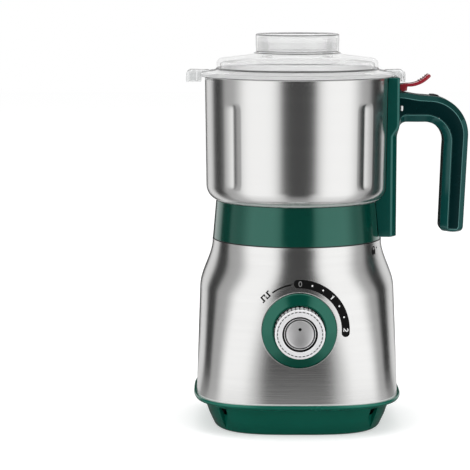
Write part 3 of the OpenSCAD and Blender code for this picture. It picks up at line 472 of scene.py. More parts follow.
clearValues = {
    "clearPlastic": {
        "tints": ((0.95, 0.96, 0.96), (0.99, 0.995, 0.995)), "rough": (0.01, 0.04), "alpha": 0.13,
        "through": 1.0,
    },
    "capPlastic": {
        "tints": ((0.93, 0.935, 0.935), (0.98, 0.985, 0.985)), "rough": (0.02, 0.06), "alpha": 0.36,
        "through": 0.5,
    },
    "flangePlastic": {
        "tints": ((0.95, 0.955, 0.955), (0.99, 0.99, 0.99)), "rough": (0.04, 0.09), "alpha": 0.66,
        "through": 0.4,
    },
    "veilPlastic": {
        "tints": ((0.96, 0.965, 0.965), (0.99, 0.99, 0.99)), "rough": (0.03, 0.08), "alpha": 0.45,
        "through": 0.4,
    },
    "earPlastic": {
        "tints": ((0.7, 0.71, 0.71), (0.8, 0.81, 0.81)), "rough": (0.05, 0.12), "alpha": 0.75,
        "through": 0.95,
    },
    "edgeShadePlastic": {
        "tints": ((0.01, 0.011, 0.011), (0.03, 0.032, 0.032)), "rough": (0.04, 0.1), "alpha": 0.85,
        "through": 1.0,
    },
}
chromeCommon = {"pattern": handlingMarks, "size": 120.0, "rough": (0.1, 0.18)}
chromeValues = {
    "knobChrome": {"tints": ((0.97, 0.97, 0.98), (0.92, 0.92, 0.93)), "metal": 0.25},
    # dark grey chrome for painted shade on the knob
    "knobShade": {"tints": (grey(0.1), grey(0.07)), "metal": 0.6},
}
spunCommon = {
    "pattern": turnedRings, "rough": (0.32, 0.42), "bump": 0.08, "bumpDepth": 0.0003, "metal": 0.75,
}
spunValues = {"spunDisc": {"tints": ((0.58, 0.575, 0.58), (0.68, 0.675, 0.68))}}
families = (
    (steelCommon, steelValues), (plasticCommon, plasticValues), (wireCommon, wireValues),
    (clearCommon, clearValues), (chromeCommon, chromeValues), (spunCommon, spunValues),
)
finishes = {}
for common, members in families:
    for name, own in members.items():
        finishes[name] = makeFinish(name, {**common, **own})
slotFinish = {
    "brushed_steel": "brushedSteel", "green_plastic": "greenGloss", "black_plastic": "blackPlastic",
    "black_rubber": "blackRubber", "plain_steel": "plainSteel", "laminations": "coreSheets",
    "copper": "copperWire", "brass": "brassPart", "carbon": "carbonBlock", "chrome_knob": "knobChrome",
    "spun_metal": "spunDisc", "blade_steel": "bladeSteel", "red_plastic": "redGloss",
    "clear_plastic": "clearPlastic", "silicone": "sealSilicone",
}
for part in frame["record"]["subparts"]:  # every solid starts with its own finish
    node = frame["nodes"][part["node"]]
    node.data.materials.clear()
    node.data.materials.append(finishes[slotFinish[part["material_slot"]]])
print("finishes ready:", len(finishes))

# base
skirtValues = {
    "foot": 21.75, "lipTop": 23.2, "rim": 24.0, "shoulderLow": 94.5, "shoulderHigh": 127.5, "top": 128.5,
    "half": 70.0, "taper": 2.4, "neck": 58.8, "square": 3.2, "wall": 0.8, "columns": 224, "sideRows": 16,
    "shoulderRows": 22, "holeRadius": 25.6, "holeReach": 14,
}


def skirtHalf(z):
    foot, low, high, half, taper, neck = pick(skirtValues, "foot shoulderLow shoulderHigh half taper neck")
    side = half - taper * min(1, max(0, (z - foot) / (low - foot)))
    return side + (neck - side) * smoothStep((z - low) / (high - low))


def skirtSquare(z):  # from a soft square at the foot to a circle, which has 2
    low, high, square = pick(skirtValues, "lipTop shoulderHigh square")
    return 2 + (square - 2) * (1 - smoothStep((z - low) / (high - low)))


def squareRing(half, power, z, columns):
    ring = []
    for a in fullTurn(columns):
        c, s = cos(a), sin(a)
        r = half / (abs(c) ** power + abs(s) ** power) ** (1 / power)
        ring.append((r * c, r * s, z))
    return ring


def skirtFront(x, z, lift=0.0):  # a point on the front of the skirt
    n, w = skirtSquare(z), skirtHalf(z)
    return (x, -(w ** n - abs(x) ** n) ** (1 / n) - lift, z)


def makeSteelSkirt():
    s = skirtValues
    foot, low, high, sides, turns = pick(s, "foot shoulderLow shoulderHigh sideRows shoulderRows")
    levels = [foot, s["lipTop"], s["rim"]]
    levels += [mixValue(foot, low, k / sides) for k in range(1, sides)]
    levels += [mixValue(low, high, k / turns) for k in range(turns + 1)] + [s["top"]]
    walls = [(z, 0) for z in levels] + [(z, s["wall"]) for z in reversed(levels)]
    rings = [squareRing(skirtHalf(z) - inset, skirtSquare(z), z, s["columns"]) for z, inset in walls]
    skirt = gridPiece("steelSkirt", rings)
    shapeWith(skirt, rodPiece("hole", s["holeRadius"], -s["holeReach"], s["holeReach"], 128, atKnob))
    seat(skirt, "base", "brushed_steel", "brushedSteel", "base_shell")
    # the lowest faces of the skirt take a brighter, less metallic steel: a painted highlight along its
    # bottom edge
    secondFinish(skirt, "steelRimHighlight", lambda face: face.center.z < s["rim"] * mm)


coverValues = {
    "square": 3.2, "columns": 224, "stand": 56.5, "under": 64.5, "lip": 71.95, "lipLow": 20.0,
    "lipHigh": 23.2, "seat": 70.15, "foot": 36.5, "footRadius": 6.65, "footDepth": 3.4,
    "screw": (46.5, 27.0), "boss": (4.0, 3.0, 9.2), "screwHead": (3.4, 5.2), "screwBore": (1.8, 10),
    "notch": 7.0, "notchLow": 1.2, "notchTop": 17.6, "notchFoot": 1.9, "notchLean": 2.8, "notchReach": 20,
    "slots": 12, "slotIn": 12.0, "slotOut": 30.0, "slotWidth": 3.0, "slotTop": 10, "glandHeight": 7.6,
    "glandRadius": 4.75, "gland": (50, 70),
}


def coverProfile():
    w, u, lip, low, high, seatAt = pick(coverValues, "stand under lip lipLow lipHigh seat")
    foot = [(w - 6, 2.2), (w - 5, 0, 0.4), (w, 0, 0.6), (w + 1.6, 1.2, 1.6)]
    side = [((w + u) / 2 + 1, low * 0.435, 6.0), (u, low - 2.6, 1.5), (u + 0.8, low - 1.2, 0.8)]
    edge = [(lip - 2.6, low - 0.4, 0.9), (lip - 0.7, low + 0.5, 0.8), (lip, low + 1.6, 0.7),
            (lip, high - 0.9, 0.5), (lip - 0.5, high, 0.35), (seatAt, high, 0.15)]
    inside = [(seatAt, low + 1.6, 0.15), (seatAt - 2.4, low + 1.6, 0.4), (u - 2, low - 3.2, 1.0),
              (w - 0.6, 5.2)]
    return softCorners(foot + side + edge + inside, 4, closed=False)


def makeBottomCover():
    v = coverValues
    rings = [squareRing(half, v["square"], z, v["columns"]) for half, z in coverProfile()]
    cover = skinPiece("bottomCover", rings)
    cuts = []
    (head, step), (bore, end) = v["screwHead"], v["screwBore"]
    screwHole = [(0, -1), (head, -1), (head, step), (bore, step), (bore, end), (0, end)]
    for sx, sy in ((-1, -1), (-1, 1), (1, -1), (1, 1)):
        atFoot = movedTo(sx * v["foot"], sy * v["foot"])
        cuts.append(rodPiece("cut", v["footRadius"], -1, v["footDepth"], 48, atFoot))
        atScrew = movedTo(sx * v["screw"][0], sy * v["screw"][1])
        shapeWith(cover, rodPiece("boss", *v["boss"], 40, atScrew), "UNION")
        cuts.append(lathePiece("cut", screwHole, 40, atScrew))
    near = v["stand"] * 2 ** (0.5 - 1 / v["square"]) + v["notchFoot"]
    far, low, top = near + v["notchReach"], v["notchLow"], v["notchTop"]
    notch = [(near, low), (far, low), (far, top), (near + v["notchLean"], top)]
    for k in range(4):  # one at each corner
        corner = turnedBy(radians(45 + 90 * k))
        cuts.append(prismPiece("cut", notch, -v["notch"] / 2, v["notch"] / 2, place=corner))
    slot = boxOutline(v["slotIn"], 0, v["slotOut"], v["slotTop"])
    for a in fullTurn(v["slots"]):
        cuts.append(prismPiece("cut", slot, -v["slotWidth"] / 2, v["slotWidth"] / 2, place=turnedBy(a)))
    cuts.append(rodPiece("cut", v["glandRadius"], *v["gland"], 48, alongY(0, v["glandHeight"])))
    shapeWith(cover, joinPieces(*cuts))
    # the bottom cover takes a lighter copy of the green plastic: painted light on faces that turn down
    seat(cover, "base", "green_plastic", "plinthGreenPaintedLight", "bottom_cover")


knobValues = {
    "height": 74.0, "radius": 16.8, "ridges": 36, "back": -1.25, "bore": (3.15, 5.6), "face": 15.0,
    "recess": 11.6, "recessFloor": 12.1, "ridgeDepth": (0.1, 1.0), "ridgeFade": (12.6, 14.6),
    "groove": (14.65, 15.35, 14.1), "valley": 16.3, "dash": (14.7, 15.3, 0.62), "dashLift": 0.03,
    "insert": 9.4, "insertLow": 12.12, "insertEdge": 14.3, "insertFace": 14.8, "dish": 1.7,
    "trim": (10.1, 10.6, 13.5), "gapShade": 12.7, "ringGap": 0.02, "dotAt": 3.2, "dotStep": 0.36,
    "dotLift": (0.06, 0.012), "columns": 128,
}
knobValues["front"] = skirtHalf(knobValues["height"])


def atKnob(p):  # x and y across the knob's axis, then outwards from the skirt
    return (p[0], -knobValues["front"] - p[2], knobValues["height"] + p[1])


bezelValues = {
    "bore": 5.3, "low": -6, "floor": -4, "flange": 27.9, "flangeTop": -4.3, "outer": 25.3,
    "crest": (18.5, 4.25), "inner": 17.4, "top": 4.4,
}


def makeKnobBezel():
    bore, low, floor, flange, step = pick(bezelValues, "bore low floor flange flangeTop")
    out, crest, inner, top = pick(bezelValues, "outer crest inner top")
    profile = [(bore, low), (flange, low), (flange, step), (out, step), (out, 0.5, 0.7),
               (out - 0.7, 1.1, 0.5), (*crest, 0.5), (inner + 0.2, top, 0.25), (inner, top - 0.5, 0.2),
               (inner, floor), (bore, floor)]
    bezel = lathePiece("knobBezel", softCorners(profile), 160, atKnob)
    seat(bezel, "base", "green_plastic", "bezelGreen", "knob_bezel")


beadValues = {"inner": 25.35, "outer": 25.85, "sunk": -0.3, "proud": 0.3, "soft": 0.25, "columns": 120}


def makeHoleBead():  # rolled edge of the steel round the bezel
    near, far, low, high, soft, columns = pick(beadValues, "inner outer sunk proud soft columns")
    shape = softCorners([(near, low), (far + 0.2, low), (far, high, soft), (near, high, soft)], 4)
    turn, z = fullTurn(columns), knobValues["height"]
    rings = [[skirtFront(r * sin(a), z + r * cos(a), lift) for a in turn] for r, lift in shape]
    seat(gridPiece("holeBead", rings), "base", "brushed_steel", "brushedSteel")


def ridgeCut(r, d, angle):  # depth of the valleys between the knob's ridges
    k = knobValues
    if r <= k["groove"][1] + 0.05 or d <= 0:
        return 0.0
    flat, deepest = k["ridgeDepth"]
    start, end = k["ridgeFade"]
    wave = 0.5 + 0.5 * cos(k["ridges"] * angle)
    return (flat + deepest * wave ** 2) * (1 - smoothStep((d - start) / (end - start)))


def inShade(face):  # low ground between the ridges, and the wall of the recess round the disc, which take a dark grey: painted shade
    k = knobValues
    p = face.center / mm
    r, d = hypot(p.x, p.z - k["height"]), -p.y - k["front"]
    inValley = k["groove"][1] < r < k["valley"] and 0.2 < d < k["ridgeFade"][0]
    return inValley or (r < k["recess"] + 0.15 and d > k["recessFloor"])


def makeControlKnob():
    k = knobValues
    near, far, deep = k["groove"]
    bore, boreEnd = k["bore"]
    out, face, back, recess, floor = pick(k, "radius face back recess recessFloor")
    side = [(bore, back), (out - 2.2, back), (out, back + 0.25), (out, 10.6), (out, 12.2),
            (out, face - 0.25, 1.9)]
    front = [(far, face - 0.15, 0.15), (far, deep), (near, deep), (near, face, 0.2),
             (recess + 0.4, face, 0.5)]
    middle = [(recess, face - 0.7, 0.3), (recess, floor, 0.3), (0, floor), (0, boreEnd), (bore, boreEnd)]
    rings = []
    for r, d in softCorners(side + front + middle, 8):
        ring = []
        for a in fullTurn(k["ridges"] * 10):
            reach = r - ridgeCut(r, d, a)
            ring.append(atKnob((reach * cos(a), reach * sin(a), d)))
        rings.append(ring)
    knob = gridPiece("controlKnob", rings, sharpAngle=40)
    seat(knob, "knob", "chrome_knob", "knobChrome", "control_knob")
    secondFinish(knob, "knobShade", inShade)


def makeGrooveShadeDashes():  # dark dashes lying in the knob's groove, one for each ridge: painted shade in the groove
    k = knobValues
    near, far, share = k["dash"]
    verts, faces = [], []
    for n in range(k["ridges"]):
        start = len(verts)
        for t in range(7):
            a = 2 * pi * (n + share * (t / 6 - 0.5)) / k["ridges"]
            d = k["groove"][2] + k["dashLift"]
            verts += [atKnob((r * cos(a), r * sin(a), d)) for r in (near, far)]
        faces += [(start + 2 * t, start + 2 * t + 1, start + 2 * t + 3, start + 2 * t + 2) for t in range(6)]
    seat(meshPiece("grooveShadeDashes", verts, faces), "knob", "black_plastic", "knobShade")


def dishAt(share):  # height of the dished face at a share of its radius
    return knobValues["insertFace"] - knobValues["dish"] * (1 - share ** 2)


def makeKnobInsert():
    k = knobValues
    out, low = k["insert"], k["insertLow"]
    profile = softCorners([(0, low), (out, low), (out, k["insertEdge"]),
                           (out - 0.45, k["insertFace"] - 0.02, 0.3)], closed=False)
    shares = [1 - t / 12 for t in range(1, 13)]
    profile += [(out * share, dishAt(share)) for share in shares if out * share < out - 0.6]
    insert = lathePiece("knobInsert", profile, k["columns"], atKnob)
    seat(insert, "knob", "spun_metal", "spunDisc", "knob_insert")


def ringAtKnob(name, near, far, low, high, steps, soft=0.2):
    shape = softCorners([(near, low), (far, low), (far, high, soft), (near, high, soft)], steps)
    return lathePiece(name, shape, knobValues["columns"], atKnob)


def makeKnobRings():  # dark ring of painted shade in the gap round the disc, and a bright trim ring
    k = knobValues
    gap, top = k["ringGap"], k["gapShade"]
    gapShade = ringAtKnob("knobGapShade", k["insert"] + gap, k["recess"] - gap, k["recessFloor"] + gap, top, 3)
    seat(gapShade, "knob", "black_rubber", "printAndShadeBlack")
    near, far, high = k["trim"]
    trim = ringAtKnob("knobTrimRing", near, far, top - 0.4, high, 4)
    seat(trim, "knob", "chrome_knob", "knobChrome")


def makeIndicatorDot():  # lies in the dish of the disc
    k = knobValues
    rings, columns = [], 24
    high, fall = k["dotLift"]
    for ring in range(1, 4):
        r, lift = k["dotStep"] * ring, high - fall * ring
        spots = [(r * cos(a), k["dotAt"] + r * sin(a)) for a in fullTurn(columns)]
        rings += [atKnob((x, y, dishAt(hypot(x, y) / k["insert"]) + lift)) for x, y in spots]
    dot = meshPiece("indicatorDot", rings, ringFaces(3, columns) + [tuple(range(columns))])
    seat(dot, "knob", "spun_metal", "printAndShadeBlack")


makeSteelSkirt()
makeBottomCover()
makeKnobBezel()
makeHoleBead()
makeControlKnob()
makeGrooveShadeDashes()
makeKnobInsert()
makeKnobRings()
makeIndicatorDot()
print("base and knob made")

# dial, printed on the front of the skirt
dialValues = {
    "radius": 31.3, "width": 5.5, "start": -1.8, "end": 93.6, "lift": 0.06, "printLift": 0.12,
    "zero": (1.0, 0.95, 1.55, 0.45), "one": 45, "two": 90, "stroke": 0.6, "dots": (16, 30.5, 59, 74),
    "dotSize": 0.58,
}


def dialSpot(angle, radius):  # clockwise from the top of the dial
    a = radians(angle)
    return radius * sin(a), knobValues["height"] + radius * cos(a)


def bandOnSkirt(name, radius, width, start, end, steps=72, across=8):
    rings = []
    reach = degrees(width / 2 / radius)
    for i in range(steps + 1):
        t = mixValue(start - reach, end + reach, 0.5 - 0.5 * cos(pi * i / steps))
        over = max(start - t, t - end, 0) / reach
        half = width / 2 * sqrt(max(0.0, 1 - over * over))
        spots = [dialSpot(t, radius + mixValue(-half, half, k / across)) for k in range(across + 1)]
        rings.append([skirtFront(x, z, dialValues["lift"]) for x, z in spots])
    return gridPiece(name, rings, loop=False, wrap=False)


def asDrawn(u, v):
    return u, v


def strokeOnSkirt(name, points, width, lift, closed=False, place=asDrawn):  # points in x and z on the front
    pts = [Vector(p) for p in points]
    n = len(pts)
    verts, faces = [], []
    for i, p in enumerate(pts):
        a = pts[(i - 1) % n] if closed or i > 0 else p
        b = pts[(i + 1) % n] if closed or i < n - 1 else p
        along = (b - a).normalized()
        side = Vector((-along.y, along.x)) * width / 2
        inA = (p - a).normalized() if (p - a).length > 1e-9 else along
        inB = (b - p).normalized() if (b - p).length > 1e-9 else along
        side /= max(0.5, sqrt(max(0.0, (1 + inA.dot(inB)) / 2)))  # keeps the width at a corner
        verts += [skirtFront(*place(*(p + side)), lift), skirtFront(*place(*(p - side)), lift)]
    for i in range(n if closed else n - 1):
        j = (i + 1) % n
        faces.append((2 * i, 2 * i + 1, 2 * j + 1, 2 * j))
    return meshPiece(name, verts, faces)


def turnedMark(points, angle, radius):  # a mark drawn upright, set round the dial
    cx, cz = dialSpot(angle, radius)
    c, s = cos(radians(-angle)), sin(radians(-angle))
    return [(cx + x * c - y * s, cz + x * s + y * c) for x, y in points]


def discOnSkirt(name, x, z, radius, lift, columns=24):
    rim = [skirtFront(x + radius * cos(a), z + radius * sin(a), lift) for a in fullTurn(columns)]
    faces = [(0, k + 1, (k + 1) % columns + 1) for k in range(columns)]
    return meshPiece(name, [skirtFront(x, z, lift)] + rim, faces)


def makeDialBand():
    d = dialValues
    band = bandOnSkirt("dialBand", d["radius"], d["width"], d["start"], d["end"])
    seat(band, "base", "black_plastic", "printAndShadeBlack")


def makeDialMarks():
    d = dialValues
    radius, lift, stroke = pick(d, "radius printLift stroke")
    angle, wide, tall, thin = d["zero"]
    zero = [(wide * cos(a), tall * sin(a)) for a in fullTurn(28)]
    zero = strokeOnSkirt("dialZero", turnedMark(zero, angle, radius), thin, lift, True)
    seat(zero, "base", "silicone", "printGrey")
    one = [(-0.75, 0.85), (0.1, 1.5), (0.1, -1.5)]
    two = arcPoints(0, 0.65, 0.9, 165, -25, 12) + [(-0.95, -1.35), (1.05, -1.35)]
    marks = [strokeOnSkirt("dialMarks", turnedMark(one, d["one"], radius), stroke, lift),
             strokeOnSkirt("two", turnedMark(two, d["two"], radius), stroke, lift)]
    marks += [discOnSkirt("dot", *dialSpot(angle, radius), d["dotSize"], lift) for angle in d["dots"]]
    seat(joinPieces(*marks), "base", "silicone", "printWhite")


pulseValues = {
    "arcRadius": 31.2, "arcWidth": 0.9, "arcStart": -35.0, "arcEnd": -10.5, "angle": -45, "radius": 31.9,
    "low": -1.5, "high": 1.7, "steps": (-4.2, -2.6, 0.0, 2.4, 4.2), "stroke": 0.95,
}


def makePulseArc():
    p = pulseValues
    arc = bandOnSkirt("pulseArc", p["arcRadius"], p["arcWidth"], p["arcStart"], p["arcEnd"], 32, 2)
    seat(arc, "base", "black_plastic", "printAndShadeBlack")


def makePulseSign():  # plain square wave
    p = pulseValues
    wave = []
    for k, (left, right) in enumerate(zip(p["steps"], p["steps"][1:])):
        y = p["high"] if k % 2 else p["low"]
        wave += [(left, y), (right, y)]
    wave = turnedMark(wave, p["angle"], p["radius"])
    sign = strokeOnSkirt("pulseSign", wave, p["stroke"], dialValues["lift"])
    seat(sign, "base", "black_plastic", "printAndShadeBlack")


lockValues = {
    "place": (52.0, 122.0), "wide": 0.8, "tall": 1.45, "body": 1.6, "bodyStroke": 2.2, "bow": 1.0,
    "bowStroke": 0.55, "dot": (2.9, 1.66), "dotHalf": 0.4, "dotStroke": 0.8,
}


def onShoulder(u, v):
    (x, z), wide, tall = lockValues["place"], lockValues["wide"], lockValues["tall"]
    return x + u * wide, z + v * tall


def makeLockSign():  # padlock with a dot beside it
    v = lockValues
    bow, (dotX, dotY) = v["bow"], v["dot"]
    bowLine = [(-bow, 1.0)] + arcPoints(0, 1.5, bow, 180, 0, 12) + [(bow, 1.0)]
    strokes = [([(v["body"] * k / 4, 0) for k in range(-4, 5)], v["bodyStroke"]), (bowLine, v["bowStroke"]),
               ([(dotX + v["dotHalf"] * k / 4, dotY) for k in range(-4, 5)], v["dotStroke"])]
    pieces = [strokeOnSkirt("lockSign", points, width, dialValues["lift"], False, onShoulder)
              for points, width in strokes]
    seat(joinPieces(*pieces), "base", "black_plastic", "printAndShadeBlack")


makeDialBand()
makePulseArc()
makeDialMarks()
makePulseSign()
makeLockSign()
print("dial printed")

# jar
collarValues = {
    "foot": 58.6, "top": 56.3, "inner": 54.8, "lip": 129.1, "low": 130.0, "sideLow": 130.6, "web": 151.85,
    "high": 154.85, "edge": 155.5, "reachTop": 156.5, "hole": 17.55, "columns": 192,
}


def makeCupCollar():
    foot, top, inner, hole, columns = pick(collarValues, "foot top inner hole columns")
    lip, low, web, high, edge = pick(collarValues, "lip low web high edge")
    profile = [(foot - 0.3, low), (foot - 0.3, lip, 0.1), (foot, lip + 0.15, 0.15), (top, edge - 0.2, 0.2),
               (top - 0.7, edge, 0.15), (top - 1.0, high, 0.1), (hole, high), (hole, web),
               (inner, web, 1.0), (inner, low, 0.3)]
    collar = lathePiece("cupCollar", softCorners(profile, 4), columns)
    seat(collar, "jar", "green_plastic", "collarGreen", "cup_collar")


cupValues = {
    "floor": 155.0, "corner": 11.0, "cornerRadius": 52.1, "sideLow": 166.0, "foot": 63.1, "top": 64.0,
    "sideTop": 238.0, "rim": 241.0, "band": 0.12, "bandLow": 237.6, "hole": 17.55, "wall": 0.8, "rows": 64,
    "fluteDepth": 1.3, "fluteHalf": 7.8, "fluteLow": 171.0, "fluteHigh": 219.5, "fluteEnd": 5.0,
    # bright: height below which the downward faces of the foot take painted light
    "crease": 0.07, "fluteSoft": 1.2, "bright": 157.2, "floorBelow": 165.0,
    "bandSteps": (237.4, 238.2, 239.4, 237),
}


def pressedRadius(r, angle, z):  # soft flutes with a crease along the middle
    v = cupValues
    turn = (angle - pi / 4) % (pi / 2)
    turn = min(turn, pi / 2 - turn)
    over = max(v["fluteLow"] - z, z - v["fluteHigh"], 0) / v["fluteEnd"]
    if over >= 1:
        return r
    fade = sqrt(1 - over * over)
    across = hypot(turn * r / (v["fluteHalf"] * mixValue(0.6, 1, fade)), v["crease"])
    if across >= 1:
        return r
    return r - v["fluteDepth"] * fade * ((1 - across) / (1 - v["crease"])) ** v["fluteSoft"]


def cupAngles():  # columns stand closer at the flutes
    angles = []
    for quarter in range(4):
        for start, wide, count in ((0, 36.0, 24), (36, 18.0, 40), (54, 36.0, 24)):
            angles += [radians(90 * quarter + start + wide * k / count) for k in range(count)]
    return angles


def cupSide(z):  # outside of the cup above its rounded foot
    v = cupValues
    return mixValue(v["foot"], v["top"], (z - v["sideLow"]) / (v["sideTop"] - v["sideLow"]))


def insideCup(face):
    onFloor = face.normal.z > facingShare and face.center.z < cupValues["floorBelow"] * mm
    return onFloor or facesAxis(face)


def makeGrindingCup():
    v = cupValues
    hole, floor, wall, rows, top, rim = pick(v, "hole floor wall rows top rim")
    middle, low, corner = pick(v, "cornerRadius sideLow corner")
    heights = [mixValue(low, v["sideTop"], k / rows) for k in range(1, rows)]
    profile = [(hole, floor)] + arcPoints(middle, low, corner, -90, 0, 16)
    profile += [(cupSide(z), z) for z in heights]
    out, inside = top + v["band"], top - wall
    start, step, full, back = v["bandSteps"]
    profile += softCorners([(top, start), (top, step, 0.4), (out, full, 0.4), (out, rim, 0.25),
                            (inside, rim, 0.25), (inside, back)], 4, closed=False)
    profile += [(cupSide(z) - wall, z) for z in reversed(heights)]
    profile += arcPoints(middle, low, corner - wall, 0, -90, 16) + [(hole, floor + wall)]
    rings = []
    for r, z in profile:
        pressed = [(pressedRadius(r, a, z), a) for a in cupAngles()]
        rings.append([(reach * cos(a), reach * sin(a), z) for reach, a in pressed])
    cup = gridPiece("grindingCup", rings, sharpAngle=50)
    seat(cup, "jar", "brushed_steel", "cupSteel", "grinding_cup")
    # faces inside the cup take a brighter, less metallic copy of the steel: painted light inside the cup
    secondFinish(cup, "cupInsidePaintedLight", insideCup)
    # downward faces low on the cup's rounded foot take a brighter, less metallic copy of the steel: painted
    # light under the cup
    secondFinish(cup, "cupFootPaintedLight", lambda face: face.center.z < v["bright"] * mm and face.normal.z < 0)


postValues = {
    "low": 130.8, "half": 17.0, "outer": 68.5, "block": 70.0, "tongue": 7.0, "slot": 10.3,
    "slotFrom": (65.9, 237.1), "slotSize": 12, "cut": (3.0, 4.4), "blockCut": (0.3, 0.4),
    "facet": (1.5, 0.7), "edge": 0.35, "gap": 0.25, "pin": (73.4, 233.6), "lug": 3.0, "lugRadius": 2.6,
    "pinHole": 1.45, "pinReach": 20, "facetTurn": (0.86, 0.95),
}


def jarReach(z):  # outside of the collar and cup, which the post follows
    c, v = collarValues, cupValues
    climb = (z - c["sideLow"]) / (v["floor"] - c["sideLow"])
    collar = mixValue(c["foot"], c["top"], min(1, max(0, climb)))
    if z < v["floor"]:
        return collar
    if z < v["sideLow"]:
        corner = v["cornerRadius"] + sqrt(max(0.0, v["corner"] ** 2 - (v["sideLow"] - z) ** 2))
        return max(collar if z < c["reachTop"] else 0, corner)
    return cupSide(z) if z < v["bandLow"] else v["top"] + v["band"]


def postOutline(z, outer, inset):
    p = postValues
    reach, soft = jarReach(z) + p["gap"], p["edge"]
    h, x = p["half"] - inset, outer - inset
    raised = (outer - p["outer"]) / (p["block"] - p["outer"])  # the block's corners are cut less
    cutX, cutY = (mixValue(p["cut"][k], p["blockCut"][k], raised) for k in (0, 1))
    facetX, facetY = p["facet"]
    back = [mixValue(-h, h, k / 20) for k in range(21)]
    back = [(sqrt(reach ** 2 - y ** 2) + inset * 0.5, y) for y in back]
    corner = [(x - cutX - facetX, h, soft), (x - cutX, h - facetY, soft), (x, h - facetY - cutY, soft)]
    mirrored = [(px, -py, soft) for px, py, _ in reversed(corner)]
    front = softCorners([back[-1]] + corner + mirrored + [back[0]], 4, closed=False)
    return [(px, py, z) for px, py in back + front[1:-1]]


def makeHandlePost():
    p = postValues
    out, block, low = pick(p, "outer block low")
    rows = [(low, out, 0.8), (low + 0.25, out, 0.3), (low + 0.8, out, 0.0)]
    atFoot = (152, 154.6, 155.2, 156.0, 156.6, 157.4, 158.4, 159.6, 161, 162.6, 164.4, 166)  # of the cup
    rows += [(z, out, 0.0) for z in (136, 142, 148) + atFoot + (172, 180, 190, 196)]
    rows += [(199.5 + 1.1 * k, mixValue(out, block, smoothStep(k / 8)), 0.0) for k in range(9)]
    rows += [(z, block, 0.0) for z in (210, 214, 218, 222, 226, 230, 234, 237.5, 237.7, 239, 240.2)]
    rows += [(240.7, block, 0.25), (240.95, block, 0.7)]
    post = skinPiece("handlePost", [postOutline(*row) for row in rows])
    near, foot = p["slotFrom"]
    slot = boxOutline(near, foot, near + p["slotSize"], foot + p["slotSize"])
    for start, end in ((-p["slot"], -p["tongue"]), (p["tongue"], p["slot"])):  # for the ear's side walls
        shapeWith(post, prismPiece("slot", slot, start, end))
    px, pz = p["pin"]
    r = p["lugRadius"]
    lug = [(block - 1, pz - r)] + arcPoints(px, pz, r, -90, 90, 14) + [(block - 1, pz + r)]
    shapeWith(post, prismPiece("lug", lug, -p["lug"], p["lug"], 0.25), "UNION")
    shapeWith(post, rodPiece("pinHole", p["pinHole"], -p["pinReach"], p["pinReach"], 32, alongY(px, pz)))
    seat(post, "jar", "green_plastic", "postGreen", "handle_post")
    # facets turned a little from the front of the post take a lighter copy of the green: painted highlight
    # along its edges
    least, most = p["facetTurn"]
    secondFinish(post, "postEdgeHighlight", lambda face: least < abs(face.normal.y) < most)


gripValues = {
    "armFoot": 70.15, "armLow": 210.0, "armHigh": 230.6, "bend": (91.0, 201.0), "inner": 9.0, "thick": 18.1,
    "width": 26.0, "lean": 2.6, "foot": 133.6, "bevelIn": 5.3, "bevelOut": 3.7, "sideIn": 4.6,
    "sideOut": 3.6, "seam": 0.15, "footRound": 4.0, "footDraw": 3.3, "footSlim": 0.3, "flare": 5.0,
    "slim": 1.3, "corner": 13.5, "panelTurn": 0.97, "edgeTurn": 0.83, "facetTurn": 0.3,
    "armShort": 4, "armUnder": 0.05, "armOver": 0.35,
}


def flare(away):  # rounded corner between the arm and the post
    r = gripValues["flare"]
    return r - sqrt(max(0.0, r * r - max(0.0, r - away) ** 2))


def armRows(outer):  # each row has x, z, half thickness, angle and how far it is drawn in
    g = gripValues
    bx, bz = g["bend"]
    rows = []
    for t in (0, 0.02, 0.045, 0.075, 0.11, 0.15, 0.2, 0.26, 0.32, 0.4, 0.5, 0.62, 0.75, 0.88, 1):
        x, s = mixValue(g["armFoot"], bx - g["armShort"], t), smoothStep(t)
        low = mixValue(g["armLow"], bz + g["inner"] - g["armUnder"], s) - flare(x - g["armFoot"])
        high = mixValue(g["armHigh"], bz + outer + g["armOver"], s)
        rows.append((x, (low + high) / 2, (high - low) / 2, 90.0, 0.0))
    return rows


def bendRows(outer, lean):
    g = gripValues
    bx, bz = g["bend"]
    corner = g["corner"]
    cx, cz = bx + g["inner"] + g["slim"] - corner, bz + g["inner"] - corner  # middle of the inner corner
    rows = []
    for k in range(41):
        a = radians(90 - (90 + lean) * k / 40)
        far = Vector((bx + outer * cos(a), bz + outer * sin(a)))
        near = Vector((cx + corner * cos(a), cz + corner * sin(a)))
        middle, across = (far + near) / 2, far - near
        turn = degrees(atan2(across.y, across.x))
        rows.append((middle.x, middle.y, across.length / 2, turn, 0.0))
    return rows


def gripRows():
    g = gripValues
    bx, bz = g["bend"]
    outer = g["inner"] + g["thick"]
    half = (g["thick"] - g["slim"]) / 2
    lean = degrees(atan(g["lean"] / (bz - g["foot"])))
    rows = armRows(outer) + bendRows(outer, lean)
    top = bz - lean / 2
    drop = top - g["foot"]
    slim, lost = g["footSlim"], g["footRound"] / drop
    steps = [(k / 12 * (1 - lost), slim * k / 12 * (1 - lost), 0.0) for k in range(2, 13)]
    for a in (pi / 2 * k / 8 for k in range(1, 9)):  # rounded foot
        steps.append((1 - lost * (1 - sin(a)), slim, g["footDraw"] * (1 - cos(a))))
    for t, less, drawn in steps:
        x = bx + outer - half - t * g["lean"]
        rows.append((x, mixValue(top, g["foot"], t), half - less - drawn, -lean, drawn))
    return rows


def shellOutline(h, drawn):
    g = gripValues
    w = g["width"] / 2 - drawn
    v, u, o = w - g["sideOut"], -h + g["bevelIn"] + g["seam"], h - g["bevelOut"]
    return [(u, -w, 0.25), (u, 0), (u, w, 0.25), (o, w, 1.6), (h, v, 1.8), (h, 0), (h, -v, 1.8),
            (o, -w, 1.6)]


